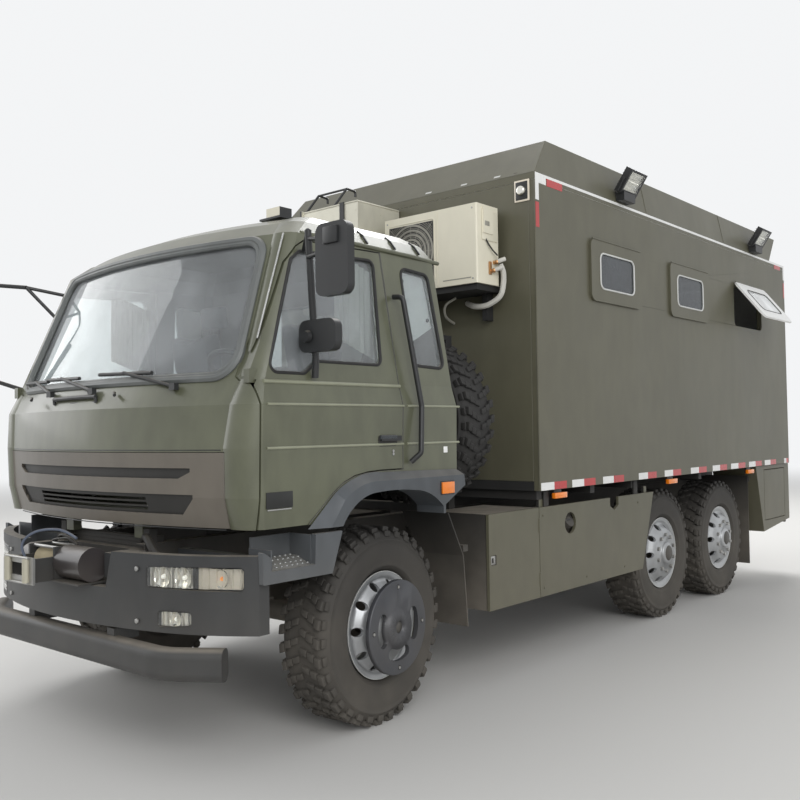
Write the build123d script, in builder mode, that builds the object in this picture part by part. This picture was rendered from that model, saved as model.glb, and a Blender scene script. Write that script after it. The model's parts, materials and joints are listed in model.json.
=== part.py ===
"""Military field kitchen truck: six wheels, a flat-front cab and a box body with a kitchen in it.

Millimetres. +X is the truck's left side, -Y is its front, +Z is up. The origin is on the
ground, at the middle of the whole truck's length and width. Heights in this file are above a
level datum GROUND below the tyres' feet, and keep() sets each piece down on the ground.
"""

import os
from collections import namedtuple
from math import cos, pi, radians, sin, tan

from build123d import *

os.makedirs("parts", exist_ok=True)

# Stations are measured back from the front axle, and at() turns one into Y.
FRONT_AXLE_Y = -2500
WHEELBASE = 3475
TANDEM_PITCH = 1250
AXLES = (0, WHEELBASE, WHEELBASE + TANDEM_PITCH)
FIT_GAP = 0.3
GROUND = 36
HUB_Z = 560

# Chassis: two channel rails and the members across them.
RAIL_X = 430
RAIL_BOTTOM, RAIL_TOP = 800, 1050
RAIL_FLANGE, RAIL_WALL = 80, 8
RAIL_FRONT, RAIL_REAR = -1010, 6230
CrossMember = namedtuple("CrossMember", "station depth low high")
CROSS_MEMBERS = (
    CrossMember(-960, 60, 835, 1015),
    CrossMember(820, 70, 755, 815),
    CrossMember(2100, 70, 885, 1035),
    CrossMember(2950, 70, 850, 1000),
    CrossMember(4100, 90, 825, 1025),
    CrossMember(5380, 70, 850, 1000),
    CrossMember(6190, 70, 825, 1025),
)

# Axles, steering pins and springs.
AXLE_HOUSING_R = 70
DIFF_R = 165
KINGPIN_X = 800
SPINDLE_END = 1082
PARKED_STEER = 4
DRUM_R = 150
LEAF_HALF, LEAF_T = 38, 14
FRONT_SPRING_X, REAR_SPRING_X = 470, 500

# Wheels: 12.5 R20 tyres, one on each end of each axle, on convex disc wheels. A tyre has flat
# sides, few enough for seven of them to stay light.
TYRE_R = 524
CARCASS_R = 509
TYRE_OUT, TYRE_IN = 1122, 812
TYRE_HALF = (TYRE_OUT - TYRE_IN) / 2
WHEEL_X = (TYRE_OUT + TYRE_IN) / 2
TyreSection = namedtuple("TyreSection", "out radius")
TYRE_SECTIONS = (TyreSection(104, 275), TyreSection(155, 400), TyreSection(118, CARCASS_R))
TYRE_SIDES, TYRE_BORE_R = 32, 261
LUG_TAPER, LUG_ROOT_R = radians(1.4), 450
BEAD_R = 258
RIM_FLANGE_R = 284
RIM_BARREL_R = 246
RIM_FACE_X = 1092
DISC_R, DISC_X = 190, 1132
HAND_HOLES, HAND_HOLE_AT, HAND_HOLE_R = 10, 219, 24
GUARD_R = 249
GUARD_X, GUARD_T = 1207, 26
SPARE_X, SPARE_S, SPARE_Z = 620, 905, 1660

# Bumper: a bowed beam with a notch for the winch and wells for the lamps.
Bow = namedtuple("Bow", "centre knee_x knee_s end_x end_s")
BUMPER_BOW = Bow(-1250, 628, -1174, 1190, -915)
BUMPER_Z = (680, 1040)
BUMPER_T = 60
NOTCH = ((-450, 1041), (-410, 865), (410, 865), (450, 1041))
HEADLAMP = ((672, 885), (672, 985), (1136, 990), (1136, 880))
FOG_LAMP = ((735, 700), (735, 785), (915, 785), (915, 715))
UNDERRUN_S, UNDERRUN_Z = -1170, 550

# Winch in the bumper's notch, with a roller fairlead in front of it.
WINCH_X, WINCH_S, WINCH_Z = -70, -1215, 962
DRUM_HALF = 118
FAIRLEAD_S, FAIRLEAD_Z = WINCH_S - 206, 934
ROPE_R = 7
ROPE_ROUTE = (
    (-100, -1262, 930), (-112, -1320, 938), (-140, -1352, 988), (-180, -1346, 1052),
    (-140, -1304, 1104), (-60, -1262, 1122), (60, -1232, 1120), (150, -1222, 1084),
)

# Cab: level sections from its lower edge to the crown of its roof.
Section = namedtuple("Section", "z half centre corner_x corner_s side_s rear")
CAB_SECTIONS = (
    Section(1154, 1180, -1075, 1000, -930, -872, 618),
    Section(1300, 1188, -1112, 1005, -966, -880, 620),
    Section(1530, 1190, -1120, 1012, -975, -885, 621),
    Section(1735, 1196, -1105, 1040, -955, -885, 618),
    Section(1850, 1166, -1050, 1042, -898, -850, 612),
    Section(2600, 1072, -745, 955, -602, -545, 560),
    Section(2682, 1008, -630, 890, -500, -430, 530),
    Section(2745, 900, -470, 790, -350, -280, 470),
    Section(2778, 640, -200, 540, -110, -60, 300),
)
CAB_WALL = 45
REAR_CORNER = 40
TILT_S, TILT_Z = -960, 1100
CAB_FLOOR, CAB_STEP_UP = 1216, 1425
SEAM = 7
INSIDE_GAP = 12
DOOR_LIP_X = 1141
GLASS_IN, GLASS_T = 14, 6

GRAB_BAR = (
    (1122, 118, 2337), (1184, 124, 2332), (1232, 216, 1735), (1248, 186, 1480), (1206, 148, 1430),
)

# Openings in the cab. Front views are (x, z) and side views are (station, z).
WINDSCREEN = ((-992, 1885), (-905, 2560), (905, 2560), (992, 1885))
REAR_WINDOW = ((-480, 2040), (-480, 2440), (480, 2440), (480, 2040))
SLEEPER_WINDOW = ((225, 2510), (455, 2495), (515, 1960), (250, 1970))
DOOR_OUTLINE = (
    (-893, 1156), (-600, 1156), (-432, 1302), (-362, 1348), (-277, 1379), (-180, 1394), (-79, 1399),
    (98, 1399), (98, 1850), (52, 2575), (-506, 2560), (-568, 2522), (-637, 2436), (-893, 1868),
)
DOOR_HOLE = (
    (-900, 1140), (-608, 1140), (-427, 1296), (-358, 1341), (-275, 1371), (-179, 1386), (-79, 1391),
    (105, 1391), (105, 1850), (67, 2583), (-508, 2568), (-573, 2528), (-644, 2440), (-900, 1871),
)
DOOR_IN = 1010
DOOR_WINDOW = (
    (-822, 1890), (-604, 2452), (-544, 2500), (-4, 2522), (-28, 1955), (-490, 1955), (-590, 1890),
)
CAB_ARCH = (
    (-560, 1100), (-500, 1185), (-390, 1300), (-290, 1352), (-190, 1372), (700, 1360), (700, 1100),
)
GRILLE = ((-1010, 1156), (-1022, 1512), (1022, 1512), (1010, 1156))
GRILLE_T = 25
RECESS_T = 14
Recess = namedtuple("Recess", "top bottom half cut")
RECESSES = (Recess(1438, 1388, 820, 75), Recess(1312, 1215, 830, 80))
SLOT_HALF, SLOT_H = 510, 15
SLOTS = (1238, 1262, 1286)

# Flares and steps round the front wheels. Each flare's lip falls from FLARE_BACK, against the
# skin, to FLARE_FACE: rows of (station, z) for its foot, its front arc's start, middle and end,
# its tail's top and its tail's two lower corners.
CAB_SPLIT = 1135
FLARE_X, FLARE_IN, FLARE_SEAT = 1235, 1040, 1194
FLARE_BACK = ((-628, 1120), (-420, 1300), (-270, 1369), (-79, 1386), (568, 1375), (598, 1290), (404, 1184))
FLARE_FACE = ((-505, 1120), (-395, 1262), (-290, 1320), (-150, 1342), (591, 1343), (600, 1283), (414, 1184))
ARCH = ((-420, 1120), (-318, 1232), (-187, 1283), (-35, 1290), (153, 1279), (292, 1245), (393, 1175))
LINER_T = 8
STEP_PANEL = (
    (-924, 1064), (-875, 1033), (-871, 969), (-595, 969), (-590, 1113), (-406, 1113), (-479, 912),
    (-919, 912),
)
STEP_X, STEP_T, STEP_IN = 1225, 30, 1040
STEP_WELL = (-846, -597)
TREAD = ((1040, 996), (1100, 993), (1196, 957), (1196, 969), (1100, 1005), (1040, 1008))

# Box body.
BOX_X = 1236
BOX_FRONT, BOX_REAR = 1411, 6320
BOX_BOTTOM, BOX_TOP = 1195, 3284
WALL = 50
BOX_INSIDE = BOX_X - WALL
FLOOR_T = 60
SILL_Z = BOX_BOTTOM + FLOOR_T
Bearer = namedtuple("Bearer", "station half")
BEARERS = (
    Bearer(1440, 1185), Bearer(2150, 1185), Bearer(2780, 1185),
    Bearer(4065, 1185), Bearer(5460, 750), Bearer(6210, 750),
)
FAIRING_FOOT, FAIRING_HEAD = (1412, 5880), (1640, 6220)
FAIRING_TOP, FAIRING_TOP_X = 3560, 1180

# Windows of the box: each sash stands on the wall and hangs from its upper edge.
SASH_Y, SASH_Z = 790, 450
SASH_TOP = 2955
SASH_T = 18
HOLE_Y, HOLE_Z = 730, 380
PANE_Y, PANE_Z = 530, 260
PANE_T = 6
SASH_STATIONS = (2505, 3825, 5240)
OPEN_ANGLE = 38

# Doors of the box.
SIDE_DOOR, SIDE_DOOR_Z = (3430, 4220), (1300, 3080)
REAR_DOOR_X, REAR_DOOR_Z = 1050, (1300, 3120)
DOOR_GAP = 8

# Skirts, side cabinets, rear lockers and rear bar.
SKIRT_X, SKIRT_T = 1202, 20
SKIRT_Z = (505, 1085)
CABINET = (872, 1440)
CABINET_IN = 760
FILLER_S, FILLER_Z, FILLER_R = 1836, 953, 73
LOCKER = (5430, 6400)
LOCKER_DOOR, LOCKER_DOOR_Z = (5650, 6260), (640, 1150)
REAR_END = 6440

# Equipment on the front of the box and along its roof.
AIRCON_X, AIRCON_S, AIRCON_Z = (182, 979), (1109, 1360), (2550, 3070)
VENT_X, VENT_S, VENT_Z = (-490, 70), (960, 1404), (2460, 3220)
FLOODLIGHT_STATIONS = (2640, 5400)
FLOODLIGHT_Z = 3435


def at(station):
    """Turn a station, in mm behind the front axle, into Y."""
    return FRONT_AXLE_Y + station


def keep(piece, name):
    """Set a finished piece down on the ground, label it and write its STEP file."""
    with BuildPart() as placed:
        add(piece.part.moved(Location((0, 0, -GROUND))))
    placed.part.label = name
    export_step(placed.part, f"parts/{name}.step")


def other_side(piece):
    """The same piece on the truck's other side."""
    with BuildPart() as turned:
        mirror(piece.part, about=Plane.YZ)
    return turned


def box(x0, x1, s0, s1, z0, z1, mode=Mode.ADD):
    """A block between two X, two stations and two heights."""
    middle = ((x0 + x1) / 2, at((s0 + s1) / 2), (z0 + z1) / 2)
    with Locations(middle):
        Box(abs(x1 - x0), abs(s1 - s0), abs(z1 - z0), mode=mode)


def side_prism(points, x0, x1, corner=0, mode=Mode.ADD):
    """Extrude a side-view outline, points of (station, z), from X x0 to x1."""
    with BuildSketch(Plane.YZ.offset(x0)) as outline:
        with BuildLine():
            Polyline(*[(at(s), z) for s, z in points], close=True)
        make_face()
        if corner:
            fillet(outline.vertices(), corner)
    extrude(outline.sketch, amount=x1 - x0, mode=mode)


def front_prism(points, s0, s1, corner=0, mode=Mode.ADD):
    """Extrude a front-view outline, points of (x, z), from station s0 back to s1."""
    plane = Plane(origin=(0, at(s1), 0), x_dir=(1, 0, 0), z_dir=(0, -1, 0))
    with BuildSketch(plane) as outline:
        with BuildLine():
            Polyline(*points, close=True)
        make_face()
        if corner:
            fillet(outline.vertices(), corner)
    extrude(outline.sketch, amount=s1 - s0, mode=mode)


def rod(points, radius, bend):
    """A round bar along straight runs of (x, station, z) joined by tangent bends."""
    with BuildLine() as path:
        FilletPolyline(*[(x, at(s), z) for x, s, z in points], radius=bend)
    with BuildSketch(Plane(origin=path.line @ 0, z_dir=path.line % 0)) as section:
        Circle(radius)
    sweep(section.sketch, path=path.line)


def bar(start, end, radius):
    """A straight round bar between two points of (x, station, z)."""
    with BuildLine() as path:
        Line((start[0], at(start[1]), start[2]), (end[0], at(end[1]), end[2]))
    with BuildSketch(Plane(origin=path.line @ 0, z_dir=path.line % 0)) as section:
        Circle(radius)
    sweep(section.sketch, path=path.line)


def both_sides(piece):
    """A piece and its mirror image, as one node."""
    with BuildPart() as pair:
        add(piece.part)
        mirror(piece.part, about=Plane.YZ)
    return pair


def lug_outline(turn):
    """Half a tread seen along the axle: flats, with every second one raised into a lug."""
    step = 2 * pi / TYRE_SIDES
    tip = step / 2 - LUG_TAPER
    rows = []
    for n in range(0, TYRE_SIDES, 2):
        middle = turn + n * step
        rows += [(CARCASS_R, middle - step / 2), (TYRE_R / cos(tip), middle - tip),
                 (TYRE_R / cos(tip), middle + tip), (CARCASS_R, middle + step / 2)]
    return [(radius * cos(angle), radius * sin(angle)) for radius, angle in rows]


def tyre():
    """Open-shouldered tyre about the X axis at the origin, out to the flats of its lugs."""
    half_side = 180 / TYRE_SIDES
    with BuildPart() as made:
        for side, sections in ((-1, TYRE_SECTIONS), (1, TYRE_SECTIONS[::-1])):
            for section in sections:
                with BuildSketch(Plane.YZ.offset(side * section.out)):
                    RegularPolygon(section.radius, TYRE_SIDES, rotation=half_side)
        loft(ruled=True)
        with BuildSketch(Plane.YZ.offset(-TYRE_HALF)):
            RegularPolygon(TYRE_BORE_R, TYRE_SIDES, rotation=half_side)
        extrude(amount=2 * TYRE_HALF, mode=Mode.SUBTRACT)
        for side in (-1, 1):
            with BuildSketch(Plane.YZ):
                Polygon(*lug_outline(0 if side > 0 else 2 * pi / TYRE_SIDES), align=None)
                RegularPolygon(LUG_ROOT_R, TYRE_SIDES, rotation=half_side, mode=Mode.SUBTRACT)
            extrude(amount=side * TYRE_SECTIONS[-1].out)
    return made


def rim():
    """Steel wheel about the X axis, its convex disc towards +X, with round hand holes."""
    back = RIM_FACE_X - WHEEL_X
    disc = DISC_X - WHEEL_X
    bead = BEAD_R - FIT_GAP
    with BuildPart() as made:
        with BuildSketch(Plane.XY):
            with BuildLine():
                Polyline(
                    (-back, RIM_FLANGE_R), (9 - back, RIM_FLANGE_R), (20 - back, bead),
                    (back - 20, bead), (back - 9, RIM_FLANGE_R), (back, RIM_FLANGE_R),
                    (back - 8, RIM_BARREL_R + 6), (back - 20, RIM_BARREL_R), (disc, DISC_R),
                    (disc, 92), (disc + 24, 88), (disc + 31, 60), (disc + 31, 0),
                    (disc - 44, 0), (disc - 44, 90), (disc - 14, 92), (disc - 14, DISC_R - 6),
                    (back - 34, RIM_BARREL_R - 4), (10 - back, RIM_BARREL_R - 4),
                    close=True,
                )
            make_face()
        revolve(axis=Axis.X)
        with Locations(Plane.YZ):
            with PolarLocations(HAND_HOLE_AT, HAND_HOLES):
                Cylinder(HAND_HOLE_R, 400, mode=Mode.SUBTRACT)
    return made


def hub_guard():
    """Round guard plate bolted proud of a front wheel, with four kidney slots."""
    face = GUARD_X - WHEEL_X
    back = face - GUARD_T
    with BuildPart() as made:
        with BuildSketch(Plane.YZ.offset(back)):
            Circle(GUARD_R)
        extrude(amount=GUARD_T)
        fillet(made.faces().sort_by(Axis.X)[-1].edges(), 8)
        with BuildSketch(Plane.YZ.offset(DISC_X - WHEEL_X)):
            Circle(104)
        extrude(amount=GUARD_X + 8 - DISC_X)
        with BuildSketch(Plane.YZ.offset(back)):
            with PolarLocations(0, 4):
                SlotArc(CenterArc((0, 0), 146, -24, 48), 60)
            with PolarLocations(212, 4):
                Circle(12)
            Circle(34)
        extrude(amount=GUARD_T + 8, mode=Mode.SUBTRACT)
    return made


def steered(piece, side):
    """Turn a front wheel or knuckle about its kingpin to the angle it is parked at."""
    pin = Location((side * KINGPIN_X, at(AXLES[0]), 0))
    return piece.moved(pin * Location((0, 0, 0), (0, 0, PARKED_STEER)) * pin.inverse())


def build_wheels(rubber, steel):
    """Six road wheels: a tyre and a rim at each end of each axle."""
    guard = hub_guard()
    places = ("front", 0), ("middle", 1), ("rear", 2)
    for name, axle in places:
        for side, side_name, turn in ((1, "left", 0), (-1, "right", 180)):
            spot = Location((0, at(AXLES[axle]), HUB_Z), (0, 0, turn)) * Location((WHEEL_X, 0, 0))
            pieces = [rubber, steel, guard] if axle == 0 else [rubber, steel]
            with BuildPart() as wheel:
                for piece in pieces:
                    placed = piece.part.moved(spot)
                    add(steered(placed, side) if axle == 0 else placed)
            keep(wheel, f"wheel_{name}_{side_name}")


def build_spare(rubber, steel):
    """Spare wheel, upright behind the cab, on the carrier that holds it to the frame."""
    spot = Location((SPARE_X, at(SPARE_S), SPARE_Z), (0, 0, -90))
    with BuildPart() as spare:
        add(rubber.part.moved(spot))
        add(steel.part.moved(spot))
    keep(spare, "spare_wheel")
    back = SPARE_S + TYRE_HALF + 6
    front = SPARE_S - TYRE_HALF - 30
    hook = SPARE_Z + TYRE_R + 6
    with BuildPart() as carrier:
        for x in (SPARE_X - 210, SPARE_X + 74):
            box(x, x + 60, back, back + 60, RAIL_TOP + 2, SPARE_Z + 330)
        box(-RAIL_X - 20, SPARE_X + 134, back, back + 60, RAIL_TOP + 2, RAIL_TOP + 62)
        box(SPARE_X - 210, SPARE_X + 134, back, back + 60, SPARE_Z - 40, SPARE_Z + 40)
        box(SPARE_X + 80, SPARE_X + 130, front, back + 10, hook, hook + 30)
        box(SPARE_X + 80, SPARE_X + 130, back, back + 60, SPARE_Z + 326, hook + 30)
    keep(carrier, "spare_carrier")


def build_frame():
    """Two channel rails joined by cross members."""
    web = RAIL_X
    with BuildPart() as frame:
        for side in (-1, 1):
            outer, inner = side * web, side * (web - RAIL_WALL)
            tip = side * (web - RAIL_FLANGE)
            box(inner, outer, RAIL_FRONT, RAIL_REAR, RAIL_BOTTOM, RAIL_TOP)
            box(tip, outer, RAIL_FRONT, RAIL_REAR, RAIL_TOP - RAIL_WALL, RAIL_TOP)
            box(tip, outer, RAIL_FRONT, RAIL_REAR, RAIL_BOTTOM, RAIL_BOTTOM + RAIL_WALL)
        for row in CROSS_MEMBERS:
            half = row.depth / 2
            box(-web + 4, web - 4, row.station - half, row.station + half, row.low, row.high)
        for side in (-1, 1):
            box(side * (web - 50), side * web, TILT_S - 25, TILT_S + 25, RAIL_TOP - 4, TILT_Z + 25)
    keep(frame, "chassis_frame")


def axle_beam(station, reach, nose):
    """A driven axle: a tube with a round differential housing, its nose forward (-1) or back (1)."""
    z = HUB_Z
    with Locations(Location((0, at(station), z), (0, 90, 0))):
        Cylinder(AXLE_HOUSING_R, 2 * reach)
    with Locations((0, at(station), z)):
        Sphere(DIFF_R)
    with Locations(Location((0, at(station) + nose * 130, z), (90, 0, 0))):
        Cylinder(90, 260)


def build_axles():
    """Front driven axle, the tandem's two axles and the knuckles that steer."""
    with BuildPart() as front:
        axle_beam(AXLES[0], KINGPIN_X - 120, 1)
        for side in (-1, 1):
            with Locations((side * (KINGPIN_X - 105), at(0), HUB_Z)):
                Box(60, 120, 230)
            for z in (-115, 115):
                with Locations((side * (KINGPIN_X - 52), at(0), HUB_Z + z)):
                    Box(144, 68, 34)
    keep(front, "front_axle")
    with BuildPart() as tandem:
        for station in AXLES[1:]:
            axle_beam(station, SPINDLE_END, -1)
            for side in (-1, 1):
                with Locations(Location((side * (TYRE_IN + 75), at(station), HUB_Z), (0, 90, 0))):
                    Cylinder(DRUM_R, 110)
                box(side * (REAR_SPRING_X - 45), side * (REAR_SPRING_X + 45), station - 50, station + 50,
                    HUB_Z + 40, HUB_Z + 148)
    keep(tandem, "rear_axles")
    for side, name in ((1, "left"), (-1, "right")):
        with BuildPart() as knuckle:
            with Locations((side * KINGPIN_X, at(0), HUB_Z)):
                Box(70, 84, 180)
            with Locations(Location((side * (KINGPIN_X + 96), at(0), HUB_Z), (0, 90, 0))):
                Cylinder(DRUM_R, 100)
            bar((side * KINGPIN_X, 0, HUB_Z), (side * SPINDLE_END, 0, HUB_Z), 62)
            box(side * (KINGPIN_X - 20), side * (KINGPIN_X + 20), 20, 215, HUB_Z - 58, HUB_Z - 22)
        with BuildPart() as parked:
            add(steered(knuckle.part, side))
        keep(parked, f"knuckle_{name}")


def leaf_pack(x, station, length, z, leaves, rise):
    """A stack of spring leaves, each shorter than the one above, clamped in the middle."""
    for n in range(leaves):
        reach = length / 2 * (1 - 0.8 * n / leaves)
        top = z - n * LEAF_T
        ends = top + rise * (reach / (length / 2)) ** 2
        front, back = at(station) - reach, at(station) + reach
        with BuildSketch(Plane.YZ.offset(x - LEAF_HALF)) as leaf:
            with BuildLine():
                ThreePointArc((front, ends), (at(station), top), (back, ends))
                Line((back, ends), (back, ends - LEAF_T))
                ThreePointArc((back, ends - LEAF_T), (at(station), top - LEAF_T), (front, ends - LEAF_T))
                Line((front, ends - LEAF_T), (front, ends))
            make_face()
        extrude(leaf.sketch, amount=2 * LEAF_HALF)


def build_springs():
    """Front springs under the rails, and the tandem's springs on their trunnions."""
    with BuildPart() as springs:
        for side in (-1, 1):
            x = side * FRONT_SPRING_X
            leaf_pack(x, 0, 1400, HUB_Z + 180, 6, 110)
            box(x - 45, x + 45, -60, 60, HUB_Z + 72, HUB_Z + 100)
            for s in (-680, 640):
                box(side * (RAIL_X + 2), x + side * LEAF_HALF, s, s + 40, HUB_Z + 262, RAIL_TOP - 90)
        for side in (-1, 1):
            x = side * REAR_SPRING_X
            middle = (AXLES[1] + AXLES[2]) / 2
            leaf_pack(x, middle, 1240, HUB_Z + 260, 8, -90)
            with Locations(Location((x, at(middle), HUB_Z + 90), (0, 90, 0))):
                Cylinder(95, 100)
            box(x - 42, x + 42, middle - 70, middle + 70, HUB_Z + 60, HUB_Z + 170)
            box(side * (RAIL_X + 2), x - side * 40, middle - 110, middle + 110, HUB_Z + 20, RAIL_TOP - 110)
    keep(springs, "leaf_springs")


def build_drive():
    """Engine as one plain block, then the gearbox, transfer case and shafts."""
    with BuildPart() as engine:
        box(-330, 330, -560, 560, 860, 1330)
        fillet(engine.edges().filter_by(Axis.Y), 60)
    keep(engine, "engine_block")
    with BuildPart() as drive:
        box(-170, 170, 566, 1150, 820, 1044)
        bar((0, 1140, 950), (0, 1510, 940), 40)
        box(-190, 190, 1500, 1900, 700, 1020)
        bar((0, 1510, 760), (0, 274, 590), 36)
        bar((0, 1890, 830), (0, AXLES[1] - 272, 600), 40)
        bar((0, AXLES[1] + DIFF_R + 2, HUB_Z), (0, AXLES[2] - 268, HUB_Z), 36)
    keep(drive, "drive_line")


def build_tank():
    """Fuel tank slung outside the left rail, behind the skirt."""
    with BuildPart() as tank:
        box(520, 1150, 1560, 2420, 540, 1000)
        fillet(tank.edges().filter_by(Axis.Y), 90)
        with Locations(Location((1150, at(FILLER_S), FILLER_Z), (0, 60, 0))):
            Cylinder(FILLER_R - 21, 90)
        for s in (1720, 2260):
            box(RAIL_X + 1, 540, s - 25, s + 25, 700, 1000)
    keep(tank, "fuel_tank")


def bowed_band(bow, thick):
    """Plan outline of a bowed beam, closed by the same curve moved back."""
    with BuildLine() as outline:
        for shift in (0, thick):
            c, k, e = bow.centre + shift, bow.knee_s + shift, bow.end_s + shift
            ThreePointArc((-bow.knee_x, at(k)), (0, at(c)), (bow.knee_x, at(k)))
            for side in (-1, 1):
                middle = ((bow.knee_x + bow.end_x) / 2 * side, at((k + e) / 2 - 42))
                ThreePointArc((side * bow.knee_x, at(k)), middle, (side * bow.end_x, at(e)))
        for side in (-1, 1):
            Line((side * bow.end_x, at(bow.end_s)), (side * bow.end_x, at(bow.end_s + thick)))
    make_face(outline.edges())


def bumper_beam(thick):
    """The bumper's bowed beam at its full height."""
    with BuildPart() as beam:
        with BuildSketch(Plane.XY.offset(BUMPER_Z[0])):
            bowed_band(BUMPER_BOW, thick)
        extrude(amount=BUMPER_Z[1] - BUMPER_Z[0])
    return beam


def build_bumper():
    """Bowed steel bumper with a notch for the winch and wells for the lamps."""
    with BuildPart() as bumper:
        add(bumper_beam(BUMPER_T).part)
        front_prism(NOTCH, -1400, -1000, mode=Mode.SUBTRACT)
        for side in (-1, 1):
            for outline in (HEADLAMP, FOG_LAMP):
                well = [(side * x, z) for x, z in outline]
                front_prism(well, -1400, -800, corner=18, mode=Mode.SUBTRACT)
        for side in (-1, 1):
            box(side * (RAIL_X - 8), side * (RAIL_X - 108), -1170, RAIL_FRONT - 1, 900, 1020)
            box(side * (RAIL_X + 20), side * (RAIL_X - 130), RAIL_FRONT - 13, RAIL_FRONT - 1, 810, 1020)
        box(-430, 430, -1160, -1115, 850, 868)
    keep(bumper, "bumper")


def build_front_lamps():
    """Headlamp with its indicator, and fog lamp, set in the bumper's wells on each side."""
    with BuildPart() as lamps:
        for side in (-1, 1):
            for outline in (HEADLAMP, FOG_LAMP):
                lamp = [(side * x, z) for x, z in grown(outline, -3)]
                front_prism(lamp, -1400, -800, corner=15)
        add(bumper_beam(BUMPER_T - 8).part, mode=Mode.INTERSECT)
    keep(lamps, "front_lamps")


def build_underrun():
    """Bent square bar low across the front, hung from the rails."""
    with BuildPart() as bar:
        with BuildLine() as path:
            FilletPolyline((-1060, at(UNDERRUN_S + 160), UNDERRUN_Z), (-820, at(UNDERRUN_S), UNDERRUN_Z),
                           (820, at(UNDERRUN_S), UNDERRUN_Z), (1060, at(UNDERRUN_S + 160), UNDERRUN_Z),
                           radius=240)
        with BuildSketch(Plane(origin=path.line @ 0, x_dir=(0, 0, 1), z_dir=path.line % 0)) as tube:
            Rectangle(150, 100)
            fillet(tube.vertices(), 42)
        sweep(path=path.line)
        for side in (-1, 1):
            box(side * 360, side * 420, -1180, -1100, 560, 660)
            box(side * 360, side * 420, -1160, -1040, 600, 672)
            box(side * 360, side * 420, -1100, -1040, 600, 800)
            box(side * 360, side * 420, -1100, -960, 740, 798)
    keep(bar, "underrun_bar")


def build_winch():
    """Electric winch in the bumper's notch: gear end, drum, motor end and roller fairlead."""
    with BuildPart() as winch:
        x = WINCH_X
        with Locations(Location((x, at(WINCH_S), WINCH_Z), (0, 90, 0))):
            Cylinder(44, 2 * DRUM_HALF + 20)
        for side in (-1, 1):
            box(x + side * DRUM_HALF, x + side * (DRUM_HALF + 16), WINCH_S - 78, WINCH_S + 78,
                WINCH_Z - 86, WINCH_Z + 78)
        for side, reach, radius in ((-1, 106, 72), (1, 235, 84)):
            middle = x + side * (DRUM_HALF + 14 + reach / 2)
            with Locations(Location((middle, at(WINCH_S), WINCH_Z), (0, 90, 0))):
                Cylinder(radius, reach)
        box(x - 300, x + 380, WINCH_S - 90, WINCH_S + 90, 869, 877)
        for side in (-1, 1):
            box(x + side * 104, x + side * 118, WINCH_S - 190, WINCH_S - 60, 872, 990)
        box(x - 150, x + 150, WINCH_S - 200, WINCH_S - 188, 866, 905)
        box(x - 150, x + 150, WINCH_S - 200, WINCH_S - 188, 968, 1000)
        box(x - 150, x - 112, WINCH_S - 200, WINCH_S - 188, 866, 1000)
        box(x + 112, x + 150, WINCH_S - 200, WINCH_S - 188, 866, 1000)
        for side in (-1, 1):
            with Locations((x + side * 92, at(FAIRLEAD_S), FAIRLEAD_Z)):
                Cylinder(19, 118)
        for z in (-1, 1):
            with Locations(Location((x, at(FAIRLEAD_S), FAIRLEAD_Z + z * 62), (0, 90, 0))):
                Cylinder(6, 230)
    keep(winch, "winch")


def bend_radii(points):
    """A radius for each bend of a route, from its turn and the shorter run beside it."""
    radii = []
    for before, corner, after in zip(points, points[1:], points[2:]):
        run_in, run_out = corner - before, after - corner
        half_turn = radians(run_in.get_angle(run_out) / 2)
        radii.append(round(0.45 * min(run_in.length, run_out.length) / tan(half_turn)))
    return radii


def build_rope():
    """Winch rope: out of the fairlead, up and back over the drum to the motor's top."""
    points = [Vector(x, at(s), z) for x, s, z in ROPE_ROUTE]
    radii = bend_radii(points)
    with BuildPart() as rope:
        with BuildLine() as path:
            FilletPolyline(*points, radius=radii)
        with BuildSketch(Plane(origin=path.line @ 0, z_dir=path.line % 0)):
            Circle(ROPE_R)
        sweep(path=path.line)
    length, area = path.wires()[0].length, pi * ROPE_R**2
    print(f"rope: {length:.0f} mm long, bend radii {radii}")
    print(f"rope: volume {rope.part.volume:.0f}, section times length {length * area:.0f}")
    keep(rope, "winch_rope")


def cab_form(inset):
    """The cab's outer form, or the same form drawn in by inset on every side."""
    with BuildPart() as made:
        for row in CAB_SECTIONS:
            crown = row.z == CAB_SECTIONS[-1].z
            half = row.half - inset
            corner_x = row.corner_x - inset * 0.6
            centre, corner = at(row.centre + inset), at(row.corner_s + inset)
            side_y, rear = at(row.side_s + inset * 0.5), at(row.rear - inset)
            shoulder = (half - (half - corner_x) * 0.22, corner + (side_y - corner) * 0.38)
            with BuildSketch(Plane.XY.offset(row.z - (inset if crown else 0))):
                with BuildLine():
                    ThreePointArc((-corner_x, corner), (0, centre), (corner_x, corner))
                    for side in (-1, 1):
                        ThreePointArc((side * corner_x, corner), (side * shoulder[0], shoulder[1]),
                                      (side * half, side_y))
                        Line((side * half, side_y), (side * half, rear - REAR_CORNER))
                        Line((side * half, rear - REAR_CORNER), (side * (half - REAR_CORNER), rear))
                    Line((REAR_CORNER - half, rear), (half - REAR_CORNER, rear))
                make_face()
        loft(ruled=True)
    return made


def cab_layer(inset, thick):
    """A sheet that follows the cab's form at a depth of inset."""
    with BuildPart() as layer:
        add(cab_form(inset).part)
        add(cab_form(inset + thick).part, mode=Mode.SUBTRACT)
    return layer


def grown(points, by):
    """Push an outline's points away from its middle by a set distance along each axis."""
    mid_a = sum(p[0] for p in points) / len(points)
    mid_b = sum(p[1] for p in points) / len(points)
    return [(a + (by if a > mid_a else -by), b + (by if b > mid_b else -by)) for a, b in points]


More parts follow.
